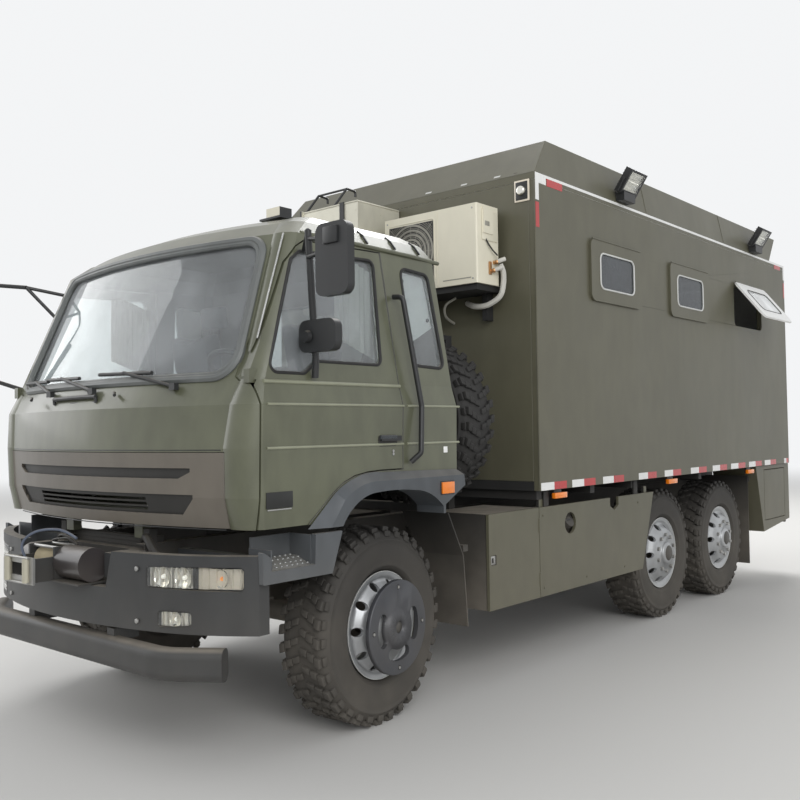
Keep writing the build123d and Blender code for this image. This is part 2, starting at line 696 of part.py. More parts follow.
def build_cab():
    """Cab shell: lofted skin, raised floor, arches, and holes for doors, glass and grille."""
    with BuildPart() as room:
        add(cab_form(CAB_WALL).part)
        box(-1300, 1300, -1300, 700, 1100, CAB_FLOOR, mode=Mode.SUBTRACT)
        box(-1300, 1300, -330, 700, 1200, CAB_STEP_UP, mode=Mode.SUBTRACT)
        box(-440, 440, -760, 0, 1200, CAB_STEP_UP, mode=Mode.SUBTRACT)
    edge = cab_layer(0, CAB_WALL + INSIDE_GAP)
    with BuildPart() as door_holes:
        for side in (-1, 1):
            side_prism(DOOR_HOLE, side * DOOR_IN, side * 1300)
        add(edge.part, mode=Mode.INTERSECT)
    with BuildPart() as shell:
        add(cab_form(0).part)
        add(room.part, mode=Mode.SUBTRACT)
        add(door_holes.part, mode=Mode.SUBTRACT)
        side_prism(CAB_ARCH, -1300, 1300, mode=Mode.SUBTRACT)
        box(-360, 360, -700, 700, 1100, CAB_STEP_UP - CAB_WALL, mode=Mode.SUBTRACT)
        front_prism(WINDSCREEN, -1300, -300, corner=90, mode=Mode.SUBTRACT)
        front_prism(grown(GRILLE, 3), -1300, -870, mode=Mode.SUBTRACT)
        front_prism(REAR_WINDOW, 500, 700, corner=60, mode=Mode.SUBTRACT)
        for side in (-1, 1):
            side_prism(SLEEPER_WINDOW, side * 900, side * 1300, corner=45, mode=Mode.SUBTRACT)
            box(side * 300, side * 372, TILT_S - 25, TILT_S + 25, TILT_Z - 25, CAB_FLOOR - 10)
    keep(shell, "cab_shell")


def build_grille():
    """Front panel with two recessed bands, the lower one slotted."""
    with BuildPart() as bands:
        for row in RECESSES:
            outline = ((-row.half, row.top), (row.half, row.top), (row.half, row.top - 18),
                       (row.half - row.cut, row.bottom), (row.cut - row.half, row.bottom),
                       (-row.half, row.top - 18))
            front_prism(outline, -1300, -900)
        add(cab_layer(0, RECESS_T).part, mode=Mode.INTERSECT)
    with BuildPart() as grille:
        front_prism(GRILLE, -1300, -880)
        add(cab_layer(0, GRILLE_T).part, mode=Mode.INTERSECT)
        add(bands.part, mode=Mode.SUBTRACT)
        for z in SLOTS:
            box(-SLOT_HALF, SLOT_HALF, -1300, -880, z - SLOT_H / 2, z + SLOT_H / 2, mode=Mode.SUBTRACT)
    keep(grille, "cab_grille")


def build_glass():
    """Windscreen, the sleeper's side windows and the rear window."""
    with BuildPart() as glass:
        front_prism(grown(WINDSCREEN, -1), -1300, -300, corner=89)
        front_prism(grown(REAR_WINDOW, -1), 450, 700, corner=59)
        for side in (-1, 1):
            side_prism(grown(SLEEPER_WINDOW, -1), side * 900, side * 1300, corner=44)
        add(cab_layer(GLASS_IN, GLASS_T).part, mode=Mode.INTERSECT)
    keep(glass, "cab_glass")


def cab_door():
    """The left door: its part of the cab's skin, with handle and glass."""
    with BuildPart() as leaf:
        side_prism(DOOR_OUTLINE, DOOR_IN, 1300)
        add(cab_layer(0, CAB_WALL).part, mode=Mode.INTERSECT)
        side_prism(DOOR_WINDOW, DOOR_IN, 1300, corner=40, mode=Mode.SUBTRACT)
        box(DOOR_IN, DOOR_LIP_X, -900, -838, CAB_SECTIONS[0].z, CAB_SECTIONS[4].z, mode=Mode.SUBTRACT)
        box(1180, 1206, -84, 76, 1548, 1575)
    with BuildPart() as pane:
        side_prism(grown(DOOR_WINDOW, -1), DOOR_IN, 1300, corner=39)
        add(cab_layer(GLASS_IN, GLASS_T).part, mode=Mode.INTERSECT)
    with BuildPart() as door:
        add(leaf.part)
        add(pane.part)
    return door


def mirror_head(x0, x1, station, z0, z1, lean):
    """A mirror's rounded back shell, upright and facing the rear."""
    middle = ((x0 + x1) / 2, at(station), (z0 + z1) / 2)
    with BuildSketch(Plane(middle, x_dir=(1, lean, 0), z_dir=(lean, -1, 0))) as outline:
        RectangleRounded(x1 - x0, z1 - z0, 45)
    extrude(outline.sketch, amount=45)


def build_cab_doors():
    """Both cab doors, each with the mirrors that ride on it."""
    door = cab_door()
    foot, head = (1186, -545, 1866), (1225, -620, 2575)
    with BuildPart() as left:
        add(door.part)
        rod((foot, (1197, -550, 1940), head), 17, 40)
        bar((1099, -530, 2505), head, 11)
        bar((1222, -616, 2535), (1400, -664, 2500), 11)
        bar((1222, -616, 2445), (1400, -664, 2445), 11)
        mirror_head(1150, 1400, -572, 1985, 2140, 0)
        mirror_head(1372, 1580, -670, 2225, 2560, 0)
    keep(left, "cab_door_left")
    elbow = (-1220, -790, 2555)
    with BuildPart() as right:
        add(other_side(door).part)
        bar((-1099, -530, 2505), elbow, 11)
        bar((-1116, -610, 2330), elbow, 11)
        rod((elbow, (-1450, -905, 2585), (-1450, -905, 1965), (-1178, -790, 1880)), 13, 60)
        mirror_head(-1580, -1390, -915, 2020, 2440, 0)
    keep(right, "cab_door_right")


def build_cab_trim():
    """Grab bars behind the doors, the roof lamp and the aerial on the left pillar."""
    with BuildPart() as grab:
        rod(GRAB_BAR, 15, 30)
    with BuildPart() as trim:
        add(both_sides(grab).part)
        box(520, 690, -320, -180, 2779, 2790)
        with Locations((605, at(-250), 2817)):
            Box(110, 90, 60)
        bar((1085, -824, 2049), (1034, -606, 2592), 5)
    keep(trim, "cab_trim")


def build_seats():
    """Two front seats and the sleeper's mattress behind them."""
    cushion = ((-420, 1600), (-420, 1690), (100, 1672), (100, 1590))
    back = ((64, 1676), (150, 1676), (232, 2250), (150, 2270))
    headrest = ((160, 2284), (228, 2276), (244, 2460), (180, 2464))
    with BuildPart() as seats:
        for x in (-550, 550):
            box(x - 190, x + 190, -320, 60, CAB_STEP_UP + 1, 1604)
            side_prism(cushion, x - 250, x + 250, corner=24)
            side_prism(back, x - 240, x + 240, corner=24)
            side_prism(headrest, x - 130, x + 130, corner=24)
            box(x - 60, x + 60, 168, 206, 2240, 2300)
        box(-1060, 1060, 262, 520, CAB_STEP_UP + 1, 1640)
    keep(seats, "seats")


def build_dashboard():
    """Dashboard that follows the front wall, with the steering column and wheel on the left."""
    outline = ((-1300, 1560), (-1300, 1780), (-640, 1792), (-596, 1730), (-650, 1560))
    column_foot, hub = (550, -660, 1600), (550, -440, 1900)
    with BuildPart() as dash:
        add(cab_form(CAB_WALL + INSIDE_GAP).part)
        side_prism(outline, -1300, 1300, mode=Mode.INTERSECT)
        bar(column_foot, hub, 30)
        with Locations(Location((hub[0], at(hub[1]), hub[2]), (-36, 0, 0))):
            Torus(225, 14)
            Cylinder(60, 36)
            Box(440, 34, 14)
    keep(dash, "dashboard")


def screen_station(x, z):
    """Station of the windscreen's outer face at a given X and height."""
    low, high = CAB_SECTIONS[4], CAB_SECTIONS[5]
    up = (z - low.z) / (high.z - low.z)
    centre = low.centre + (high.centre - low.centre) * up
    return centre + (low.corner_s - low.centre) * (x / low.corner_x) ** 2


def build_wipers():
    """Three wipers parked along the foot of the windscreen, and the two washer nozzles."""
    with BuildPart() as wipers:
        for pivot in (694, 68, -403):
            blade = pivot - 400 if pivot > -400 else pivot - 330
            tips = (blade - 215, 1918), (blade + 215, 1908)
            ends = [(x, screen_station(x, z) - 26, z) for x, z in tips]
            base = screen_station(pivot, 1832) - 26
            box(pivot - 22, pivot + 22, base - 16, base + 10, 1815, 1848)
            bar((pivot, base, 1832), (blade, screen_station(blade, 1915) - 30, 1918), 9)
            bar(ends[0], ends[1], 10)
        for x in (263, -592):
            bar((x, -1075, 1815), (x + 34, -1095, 1802), 8)
    keep(wipers, "wipers")


def flare_section(rows, x):
    """One upright section of a flare's lip, with its front arc and its tail."""
    foot, start, middle, end, top, low, tail = [(at(s), z) for s, z in rows]
    with BuildSketch(Plane.YZ.offset(x)) as section:
        with BuildLine():
            Line(foot, start)
            ThreePointArc(start, middle, end)
            Polyline(end, top, low, tail, (tail[0], foot[1]), foot)
        make_face()
    return section.sketch


def wheel_arch(grow, x0, x1, mode):
    """The wheel arch's round opening, grown by a set amount, from X x0 to x1."""
    p = [(at(s), z) for s, z in ARCH]
    with BuildSketch(Plane.YZ.offset(x0)) as opening:
        with BuildLine():
            ThreePointArc(p[0], p[1], p[2])
            ThreePointArc(p[2], p[3], p[4])
            ThreePointArc(p[4], p[5], p[6])
            Polyline(p[6], (p[6][0], p[0][1]), p[0])
        make_face()
        if grow:
            offset(amount=grow)
    extrude(opening.sketch, amount=x1 - x0, mode=mode)


def build_flares():
    """Plastic flares over the front wheels, carried by the cab: a lip and its liner."""
    with BuildPart() as flare:
        loft([flare_section(FLARE_BACK, FLARE_SEAT), flare_section(FLARE_FACE, FLARE_X)], ruled=True)
        wheel_arch(LINER_T, FLARE_IN, FLARE_SEAT + 10, Mode.ADD)
        wheel_arch(0, FLARE_IN - 5, FLARE_X + 5, Mode.SUBTRACT)
        box(FLARE_IN - 5, FLARE_X + 5, -900, 900, 1000, CAB_SPLIT, mode=Mode.SUBTRACT)
    keep(both_sides(flare), "cab_flares")


def build_steps():
    """Chassis-mounted steps ahead of the front wheels, and the rubber flaps behind them."""
    flap = ((548, 1120), (687, 857), (723, 436), (715, 436), (679, 857), (540, 1120))
    front, rear = STEP_WELL
    inner = STEP_X - STEP_T
    with BuildPart() as step:
        side_prism(STEP_PANEL, inner, STEP_X, corner=5)
        front_prism(TREAD, front, rear)
        box(STEP_IN, STEP_IN + 10, front, rear, 940, 1110)
        for s, top in ((front, 1060), (rear, 1110)):
            box(STEP_IN, inner + 2, s - 4, s + 4, 925, top)
        box(RAIL_X + 1, STEP_IN + 2, -812, -756, 955, 1010)
        side_prism(flap, 800, 1150)
        box(RAIL_X + 1, 1150, 682, 728, 880, 918)
    keep(both_sides(step), "cab_steps")


def build_box():
    """Box body: floor, four walls and roof, with holes for its windows and doors."""
    inside = BOX_INSIDE
    with BuildPart() as floor:
        box(-inside + 1, inside - 1, BOX_FRONT + 1, BOX_REAR - WALL - 1, BOX_BOTTOM, SILL_Z)
        for side in (-1, 1):
            box(side * (RAIL_X - 80), side * RAIL_X, BOX_FRONT + 1, BOX_REAR - WALL - 1,
                RAIL_TOP + 2, BOX_BOTTOM)
        for row in BEARERS:
            box(-row.half, row.half, row.station, row.station + 60, BOX_BOTTOM - 60, BOX_BOTTOM)
    keep(floor, "box_floor")
    for side, name in ((1, "left"), (-1, "right")):
        stations = SASH_STATIONS if side > 0 else (SASH_STATIONS[0], SASH_STATIONS[2])
        with BuildPart() as wall:
            box(side * inside, side * BOX_X, BOX_FRONT, BOX_REAR, BOX_BOTTOM, BOX_TOP - WALL)
            for s in stations:
                z = SASH_TOP - SASH_Z / 2
                with BuildSketch(Plane.YZ.offset(side * (inside - 10))):
                    with Locations((at(s), z)):
                        RectangleRounded(HOLE_Y, HOLE_Z, 50)
                extrude(amount=side * (WALL + 20), mode=Mode.SUBTRACT)
            if side < 0:
                box(-inside + 10, -BOX_X - 10, *SIDE_DOOR, *SIDE_DOOR_Z, mode=Mode.SUBTRACT)
        keep(wall, f"box_wall_{name}")
    with BuildPart() as front:
        box(-inside + 1, inside - 1, BOX_FRONT, BOX_FRONT + WALL, SILL_Z + 1, BOX_TOP - WALL - 1)
    keep(front, "box_wall_front")
    with BuildPart() as rear:
        box(-inside + 1, inside - 1, BOX_REAR - WALL, BOX_REAR, BOX_BOTTOM, BOX_TOP - WALL - 1)
        box(-REAR_DOOR_X, REAR_DOOR_X, BOX_REAR - WALL - 5, BOX_REAR + 5, *REAR_DOOR_Z, mode=Mode.SUBTRACT)
    keep(rear, "box_rear_frame")
    with BuildPart() as roof:
        box(-BOX_X, BOX_X, BOX_FRONT, BOX_REAR, BOX_TOP - WALL + 0.3, BOX_TOP)
    keep(roof, "box_roof")


def build_fairing():
    """Raised roof cover: sloping front panel, upright sides that lean back at the rear."""
    foot = BOX_TOP + 0.5
    with BuildPart() as fairing:
        outline = ((FAIRING_FOOT[0], foot), (FAIRING_FOOT[1], foot),
                   (FAIRING_HEAD[1], FAIRING_TOP), (FAIRING_HEAD[0], FAIRING_TOP - 10))
        side_prism(outline, -BOX_X, BOX_X)
        for side in (-1, 1):
            lean = ((side * BOX_X, foot), (side * FAIRING_TOP_X, FAIRING_TOP),
                    (side * 1400, FAIRING_TOP), (side * 1400, foot))
            front_prism(lean, 1300, 6400, mode=Mode.SUBTRACT)
    keep(fairing, "roof_fairing")


def sash(side):
    """One window sash, closed, centred at station 0 on the given side: frame and pane."""
    x0 = side * (BOX_X + 1)
    z = SASH_TOP - SASH_Z / 2
    with BuildPart() as made:
        with BuildSketch(Plane.YZ.offset(x0)):
            with Locations((0, z)):
                RectangleRounded(SASH_Y, SASH_Z, 60)
            with Locations((0, z)):
                RectangleRounded(PANE_Y, PANE_Z, 50, mode=Mode.SUBTRACT)
        extrude(amount=side * SASH_T)
        with BuildSketch(Plane.YZ.offset(x0 + side * 5)):
            with Locations((0, z)):
                RectangleRounded(PANE_Y - 1, PANE_Z - 1, 49.5)
        extrude(amount=side * PANE_T)
    return made


def build_sashes():
    """Five sashes; the rearmost on the left is propped open, as parked."""
    for side, name in ((1, "left"), (-1, "right")):
        for number, s in enumerate(SASH_STATIONS, 1):
            if side < 0 and number == 2:
                continue
            spot = Location((0, at(s), 0))
            if side > 0 and number == len(SASH_STATIONS):
                hinge = Location((BOX_X + 1 + SASH_T, 0, SASH_TOP))
                spot = spot * hinge * Location((0, 0, 0), (0, -OPEN_ANGLE, 0)) * hinge.inverse()
            with BuildPart() as window:
                add(sash(side).part.moved(spot))
            keep(window, f"window_{name}_{number}")


def build_box_doors():
    """Side door on the right wall and the pair of rear doors, flush in their frames."""
    g = DOOR_GAP
    inside = BOX_INSIDE
    with BuildPart() as side_door:
        box(-inside, -BOX_X - 2, SIDE_DOOR[0] + g, SIDE_DOOR[1] - g, SIDE_DOOR_Z[0] + g, SIDE_DOOR_Z[1] - g)
        box(-BOX_X - 2, -BOX_X - 18, SIDE_DOOR[1] - 120, SIDE_DOOR[1] - 60, 2050, 2210)
        with BuildSketch(Plane.YZ.offset(-BOX_X - 20)):
            with Locations((at(sum(SIDE_DOOR) / 2), 2700)):
                RectangleRounded(420, 300, 50)
        extrude(amount=90, mode=Mode.SUBTRACT)
        with BuildSketch(Plane.YZ.offset(-BOX_X + 20)):
            with Locations((at(sum(SIDE_DOOR) / 2), 2700)):
                RectangleRounded(419, 299, 49.5)
        extrude(amount=PANE_T)
    keep(side_door, "side_door")
    for side, name in ((1, "left"), (-1, "right")):
        with BuildPart() as door:
            box(side * 5, side * (REAR_DOOR_X - g), BOX_REAR - WALL + 2, BOX_REAR + 3,
                REAR_DOOR_Z[0] + g, REAR_DOOR_Z[1] - g)
            with Locations((side * 90, at(BOX_REAR + 28), 2200)):
                Cylinder(13, 1600)
            for z in (1450, 2200, 2950):
                box(side * 70, side * 110, BOX_REAR, BOX_REAR + 30, z - 20, z + 20)
        keep(door, f"rear_door_{name}")


def build_sides():
    """Skirt panels with their cabinets, cabinet doors, rear lockers and locker doors."""
    inner = SKIRT_X - SKIRT_T
    low, high = SKIRT_Z
    panel = ((CABINET[1] + 3, low), (2917, low), (3130, high), (2540, high), (2540, high - 60),
             (2475, high - 95), (2410, high - 60), (2410, high), (CABINET[1] + 3, high))
    with BuildPart() as skirt:
        side_prism(panel, inner, SKIRT_X)
        with Locations(Location((SKIRT_X - 10, at(FILLER_S), FILLER_Z), (0, 90, 0))):
            Cylinder(FILLER_R, 60, mode=Mode.SUBTRACT)
        for s in (1470, 3000):
            box(inner - 20, inner, s, s + 45, high - 40, BOX_BOTTOM - 61)
        box(CABINET_IN, inner - 6, CABINET[0], CABINET[1], low, high)
        box(CABINET_IN + 12, inner + 30, CABINET[0] + 12, CABINET[1] - 12, low + 12, high - 12,
            mode=Mode.SUBTRACT)
        box(inner - 14, inner + 2, CABINET[1] + 8, CABINET[1] + 34, low, high)
        box(inner - 30, inner - 12, CABINET[1] - 6, CABINET[1] + 34, low, high)
        for s in (1000, 1300):
            box(RAIL_X + 1, CABINET_IN + 2, s, s + 60, 900, 960)
    keep(both_sides(skirt), "side_skirts")
    with BuildPart() as door:
        box(inner, SKIRT_X, CABINET[0], CABINET[1] - 3, low, high)
        box(SKIRT_X - 8, SKIRT_X + 1, CABINET[0] + 20, CABINET[0] + 75, 775, 835, mode=Mode.SUBTRACT)
    keep(door, "cabinet_door_left")
    keep(other_side(door), "cabinet_door_right")
    outline = ((LOCKER[0], 1190), (5620, 533), (LOCKER[1], 607), (LOCKER[1], 1190))
    hollow = ((5470, 1160), (5640, 560), (6370, 634), (6370, 1160))
    with BuildPart() as locker:
        side_prism(outline, 760, SKIRT_X)
        side_prism(hollow, 775, SKIRT_X - SKIRT_T, mode=Mode.SUBTRACT)
        box(1100, 1300, LOCKER_DOOR[0], LOCKER_DOOR[1], *LOCKER_DOOR_Z, mode=Mode.SUBTRACT)
        box(RAIL_X + 1, 762, 5700, 5760, 900, 960)
        box(RAIL_X + 1, 762, 6120, 6180, 900, 960)
    keep(both_sides(locker), "rear_lockers")
    with BuildPart() as lid:
        box(SKIRT_X - SKIRT_T, SKIRT_X, LOCKER_DOOR[0] + 6, LOCKER_DOOR[1] - 6,
            LOCKER_DOOR_Z[0] + 6, LOCKER_DOOR_Z[1] - 6)
    keep(lid, "locker_door_left")
    keep(other_side(lid), "locker_door_right")


def build_flaps():
    """Rubber flaps behind the rear tyres, and the bars they hang from."""
    with BuildPart() as flaps:
        for side in (-1, 1):
            box(side * 700, side * 1130, 5395, 5403, 240, 1100)
            box(side * (RAIL_X + 1), side * 1130, 5403, 5443, 1040, 1090)
    keep(flaps, "mud_flaps")


def build_rear_bar():
    """Rear underrun bar with its lamps, on two arms from the rails."""
    with BuildPart() as bar:
        box(-1150, 1150, LOCKER[1] + 5, REAR_END, 560, 680)
        for side in (-1, 1):
            box(side * 380, side * 440, RAIL_REAR - 200, REAR_END - 30, 580, 660)
            box(side * 380, side * 440, RAIL_REAR - 200, RAIL_REAR - 60, 600, RAIL_BOTTOM - 1)
            box(side * 780, side * 1110, LOCKER[1] + 8, REAR_END - 2, 678, 780)
    keep(bar, "rear_bar")


def build_aircon():
    """Outdoor cooling unit on the box's front wall: case, fan grille, end cover and tray."""
    x0, x1 = AIRCON_X
    s0, s1 = AIRCON_S
    z0, z1 = AIRCON_Z
    fan_x, fan_z = x0 + 245, (z0 + z1) / 2
    with BuildPart() as unit:
        box(x0, x1, s0, s1, z0, z1)
        fillet(unit.edges().filter_by(Axis.Z), 12)
        with Locations(Location((fan_x, at(s0), fan_z), (90, 0, 0))):
            Cylinder(196, 30, mode=Mode.SUBTRACT)
            for radius in (196, 164, 132, 100, 68, 36):
                Cylinder(radius, 8)
                Cylinder(radius - 12, 8, mode=Mode.SUBTRACT)
            Cylinder(24, 8)
        for turn in (0, 90):
            with Locations(Location((fan_x, at(s0) + 2, fan_z), (0, turn, 0))):
                Box(392, 6, 8)
        box(x1 - 4, x1 + 14, s0 + 60, s0 + 170, z1 - 190, z1 - 20)
        box(x0 + 20, x1 - 20, s0 + 20, BOX_FRONT - 1, z0 - 40, z0 + 4)
        for x in (x0 + 90, x1 - 130):
            box(x, x + 40, s1 - 20, BOX_FRONT - 1, z0 - 220, z0 - 30)
    keep(unit, "aircon_unit")


def build_vent():
    """Kitchen vent housing on the box's front wall, its strap and its pair of stay rods."""
    x0, x1 = VENT_X
    s0, s1 = VENT_S
    z0, z1 = VENT_Z
    with BuildPart() as vent:
        box(x0, x1, s0, s1, z0, z1)
        box(x0 - 14, x0 + 4, s0 - 14, s0 + 20, z0, z1 + 8)
        box(x1 - 170, x1 - 130, s0 - 10, s0 + 4, z0, z1 + 4)
        arms = (x0 + 20, x0 + 310)
        for x in arms:
            stay = ((s0 + 12, z1 - 10), (s0 + 150, z1 + 152), (s0 + 240, z1 + 146), (s0 + 242, z1 + 108))
            rod([(x, s, z) for s, z in stay], 9, 16)
        bar((arms[0], s0 + 150, z1 + 150), (arms[1], s0 + 150, z1 + 150), 8)
    keep(vent, "vent_housing")


def build_floodlights():
    """Two floodlights on the left edge of the roof, tilted down at the ground beside the truck."""
    with BuildPart() as lights:
        for station in FLOODLIGHT_STATIONS:
            with Locations(Location((1312, at(station), FLOODLIGHT_Z), (0, 34, 0))):
                Box(56, 250, 190)
                with Locations((24, 0, 8)):
                    Box(20, 210, 140, mode=Mode.SUBTRACT)
            box(1238, 1304, station - 100, station + 80, BOX_TOP + 8, BOX_TOP + 72)
    keep(lights, "floodlights")


def build_kitchen():
    """Counters along both inner walls, split at the side door, with the range's burners."""
    near, far = 640, BOX_INSIDE - 6
    low, top = SILL_Z + 1, 2080
    runs = ((1, 1480, 6140), (-1, 1480, SIDE_DOOR[0] - 60), (-1, SIDE_DOOR[1] + 60, 6140))
    with BuildPart() as kitchen:
        for side, s0, s1 in runs:
            box(side * (near + 30), side * far, s0, s1, low, top)
            box(side * near, side * far, s0, s1, top - 4, top + 36)
        for s in (2100, 2760, 4600, 5260):
            with Locations(((near + far) / 2, at(s), top + 50)):
                Cylinder(190, 36)
    keep(kitchen, "kitchen_units")


def main():
    """Make every piece and write it."""
    rubber, steel = tyre(), rim()
    build_wheels(rubber, steel)
    build_spare(rubber, steel)
    build_frame()
    build_axles()
    build_springs()
    build_drive()
    build_tank()
    build_bumper()
    build_front_lamps()
    build_underrun()
    build_winch()
    build_rope()
    build_cab()
    build_grille()
    build_glass()
    build_cab_doors()
    build_cab_trim()
    build_seats()
    build_dashboard()
    build_wipers()
    build_flares()
    build_steps()
    build_box()
    build_fairing()
    build_sashes()
    build_box_doors()
    build_sides()
    build_flaps()
    build_rear_bar()
    build_aircon()
    build_vent()
    build_floodlights()
    build_kitchen()


main()
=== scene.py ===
"""Looks of a military field kitchen truck: its finishes, fittings, lamps, tyres and seats.

Metres. +X is the truck's left side, -Y is its front, +Z is up. Stations are measured back
from the front axle, and heights up from a level datum GROUND below the tyres' feet: spot()
turns them into the row frame.
"""

import json
import logging
import math
from collections import namedtuple
from collections.abc import Callable, Iterable, Sequence
from dataclasses import dataclass
from enum import Enum
from typing import Self

import bmesh
import bpy
from mathutils import Matrix, Vector

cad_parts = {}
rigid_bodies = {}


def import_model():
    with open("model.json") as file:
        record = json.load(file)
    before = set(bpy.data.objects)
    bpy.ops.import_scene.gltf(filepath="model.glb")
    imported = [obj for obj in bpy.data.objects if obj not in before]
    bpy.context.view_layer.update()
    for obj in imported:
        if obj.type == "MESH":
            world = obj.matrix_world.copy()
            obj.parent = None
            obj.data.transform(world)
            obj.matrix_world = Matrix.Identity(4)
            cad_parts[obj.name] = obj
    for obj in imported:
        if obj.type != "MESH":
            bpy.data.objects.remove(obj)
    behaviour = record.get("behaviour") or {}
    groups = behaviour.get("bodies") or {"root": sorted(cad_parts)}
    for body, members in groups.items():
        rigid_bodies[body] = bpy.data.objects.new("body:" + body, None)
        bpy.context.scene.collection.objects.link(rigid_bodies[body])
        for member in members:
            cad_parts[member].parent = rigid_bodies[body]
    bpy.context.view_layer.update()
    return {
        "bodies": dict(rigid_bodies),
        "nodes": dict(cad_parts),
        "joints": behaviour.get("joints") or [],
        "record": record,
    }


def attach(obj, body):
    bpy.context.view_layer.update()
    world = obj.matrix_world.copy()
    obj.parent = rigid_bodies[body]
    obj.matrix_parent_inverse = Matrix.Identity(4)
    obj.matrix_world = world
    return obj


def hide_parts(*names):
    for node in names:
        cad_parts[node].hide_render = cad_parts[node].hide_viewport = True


LOG = logging.getLogger("scene")

Point = tuple[float, float, float]
Colour = tuple[float, float, float]
Place = Sequence[float]
Outline = Sequence[Place]
Flat = list[tuple[float, float]]
Rows = tuple[tuple, ...]
Numbers = tuple[float, ...]
Names = tuple[str, ...]

FRONT_AXLE_Y = -2.5
AXLES = {"front": 0.0, "middle": 3.475, "rear": 4.725}
GROUND = 0.036
TYRE_R, WHEEL_X, HUB_Z = 0.524, 0.967, 0.560
KINGPIN_X, PARKED_STEER = 0.8, math.radians(4)
SIDES = (("left", 1), ("right", -1))
BOTH = (1, -1)
HERE = Matrix.Identity(4)
Front = namedtuple("Front", "height centre corner corner_x")
CAB_FRONT = (
    Front(1.154, -1.075, -0.930, 1.000), Front(1.300, -1.112, -0.966, 1.005),
    Front(1.530, -1.120, -0.975, 1.012), Front(1.735, -1.105, -0.955, 1.040),
    Front(1.850, -1.050, -0.898, 1.042), Front(2.600, -0.745, -0.602, 0.955),
)
CAB_SIDE = (
    (1.154, 1.180), (1.300, 1.188), (1.530, 1.190), (1.735, 1.196), (1.850, 1.166), (2.600, 1.072),
    (2.682, 1.008),
)
WALL_X = 1.235
BOW_X, BOW_FRONT = 0.628, -1.25
WELD, TINY = 2e-5, 1e-6
DUST = (0.42, 0.37, 0.30)


def at(station: float) -> float:
    """Y of a station, in metres behind the front axle."""
    return FRONT_AXLE_Y + station


def srgb(red: int, green: int, blue: int) -> Colour:
    """Linear colour of three 0 to 255 display values."""
    return tuple(((v / 255 + 0.055) / 1.055) ** 2.4 if v > 10 else v / 3295 for v in (red, green, blue))


class Axis(Enum):
    """Axis of the row frame that a round part turns about."""

    X = "X"
    Y = "Y"
    Z = "Z"


class Value:
    """A number that varies over a surface, held as one socket of a node tree."""

    def __init__(self, graph: "Tree", socket: bpy.types.NodeSocket) -> None:
        """Keep the socket and the tree that new nodes join."""
        self.graph = graph
        self.socket = socket

    def maths(self, operation: str, first: object, second: object = 0.0, clamp: bool = False) -> "Value":
        """Join two numbers by a Math node.

        Args:
            operation: the node's operation.
            first: a Value or a number.
            second: a Value or a number.
            clamp: whether the result stays between 0 and 1.

        Returns:
            The result as a Value.
        """
        settings = {"operation": operation, "use_clamp": clamp}
        node = self.graph.add("ShaderNodeMath", settings, {0: first, 1: second})
        return Value(self.graph, node.outputs[0])

    def __add__(self, other: object) -> "Value":
        """Sum."""
        return self.maths("ADD", self, other)

    def __radd__(self, other: object) -> "Value":
        """Sum with a number first."""
        return self.maths("ADD", other, self)

    def __rsub__(self, other: object) -> "Value":
        """Difference from a number."""
        return self.maths("SUBTRACT", other, self)

    def __mul__(self, other: object) -> "Value":
        """Product."""
        return self.maths("MULTIPLY", self, other)

    def __rmul__(self, other: object) -> "Value":
        """Product with a number first."""
        return self.maths("MULTIPLY", other, self)

    def clamped(self) -> "Value":
        """The same number kept between 0 and 1."""
        return self.maths("ADD", self, 0.0, clamp=True)

    def larger(self, other: object) -> "Value":
        """The larger of this and another number."""
        return self.maths("MAXIMUM", self, other)

    def root(self) -> "Value":
        """Square root."""
        return self.maths("SQRT", self)

    def rise(self, low: float, high: float) -> "Value":
        """Smooth step from 0 at low to 1 at high; low may be the larger.

        Args:
            low: value where the step is 0.
            high: value where it is 1.

        Returns:
            The step.
        """
        settings = {"interpolation_type": "SMOOTHSTEP"}
        sockets = {0: self, 1: min(low, high), 2: max(low, high)}
        made = Value(self.graph, self.graph.add("ShaderNodeMapRange", settings, sockets).outputs[0])
        return 1.0 - made if low > high else made


class Tree:
    """A node tree of a material or of the world, filled from empty."""

    def __init__(self, owner: bpy.types.Material | bpy.types.World) -> None:
        """Empty the owner's tree."""
        owner.use_nodes = True
        self.tree = owner.node_tree
        self.tree.nodes.clear()

    def add(self, kind: str, settings: dict | None = None, sockets: dict | None = None) -> bpy.types.Node:
        """Add a node.

        Args:
            kind: the node's type.
            settings: its own settings, set before its sockets.
            sockets: values or links of its inputs, by name or number.

        Returns:
            The new node.
        """
        node = self.tree.nodes.new(kind)
        for key, value in (settings or {}).items():
            setattr(node, key, value)
        for key, value in (sockets or {}).items():
            self.feed(node.inputs[key], value)
        return node

    def feed(self, socket: bpy.types.NodeSocket, value: object) -> None:
        """Link a Value or a socket to an input, or set the input to a constant.

        Args:
            socket: the input.
            value: a Value, a socket, a colour or another constant.
        """
        if isinstance(value, Value):
            value = value.socket
        if isinstance(value, bpy.types.NodeSocket):
            self.tree.links.new(value, socket)
        elif isinstance(value, tuple) and len(value) == 3 and socket.type == "RGBA":
            socket.default_value = (*value, 1.0)
        else:
            socket.default_value = value


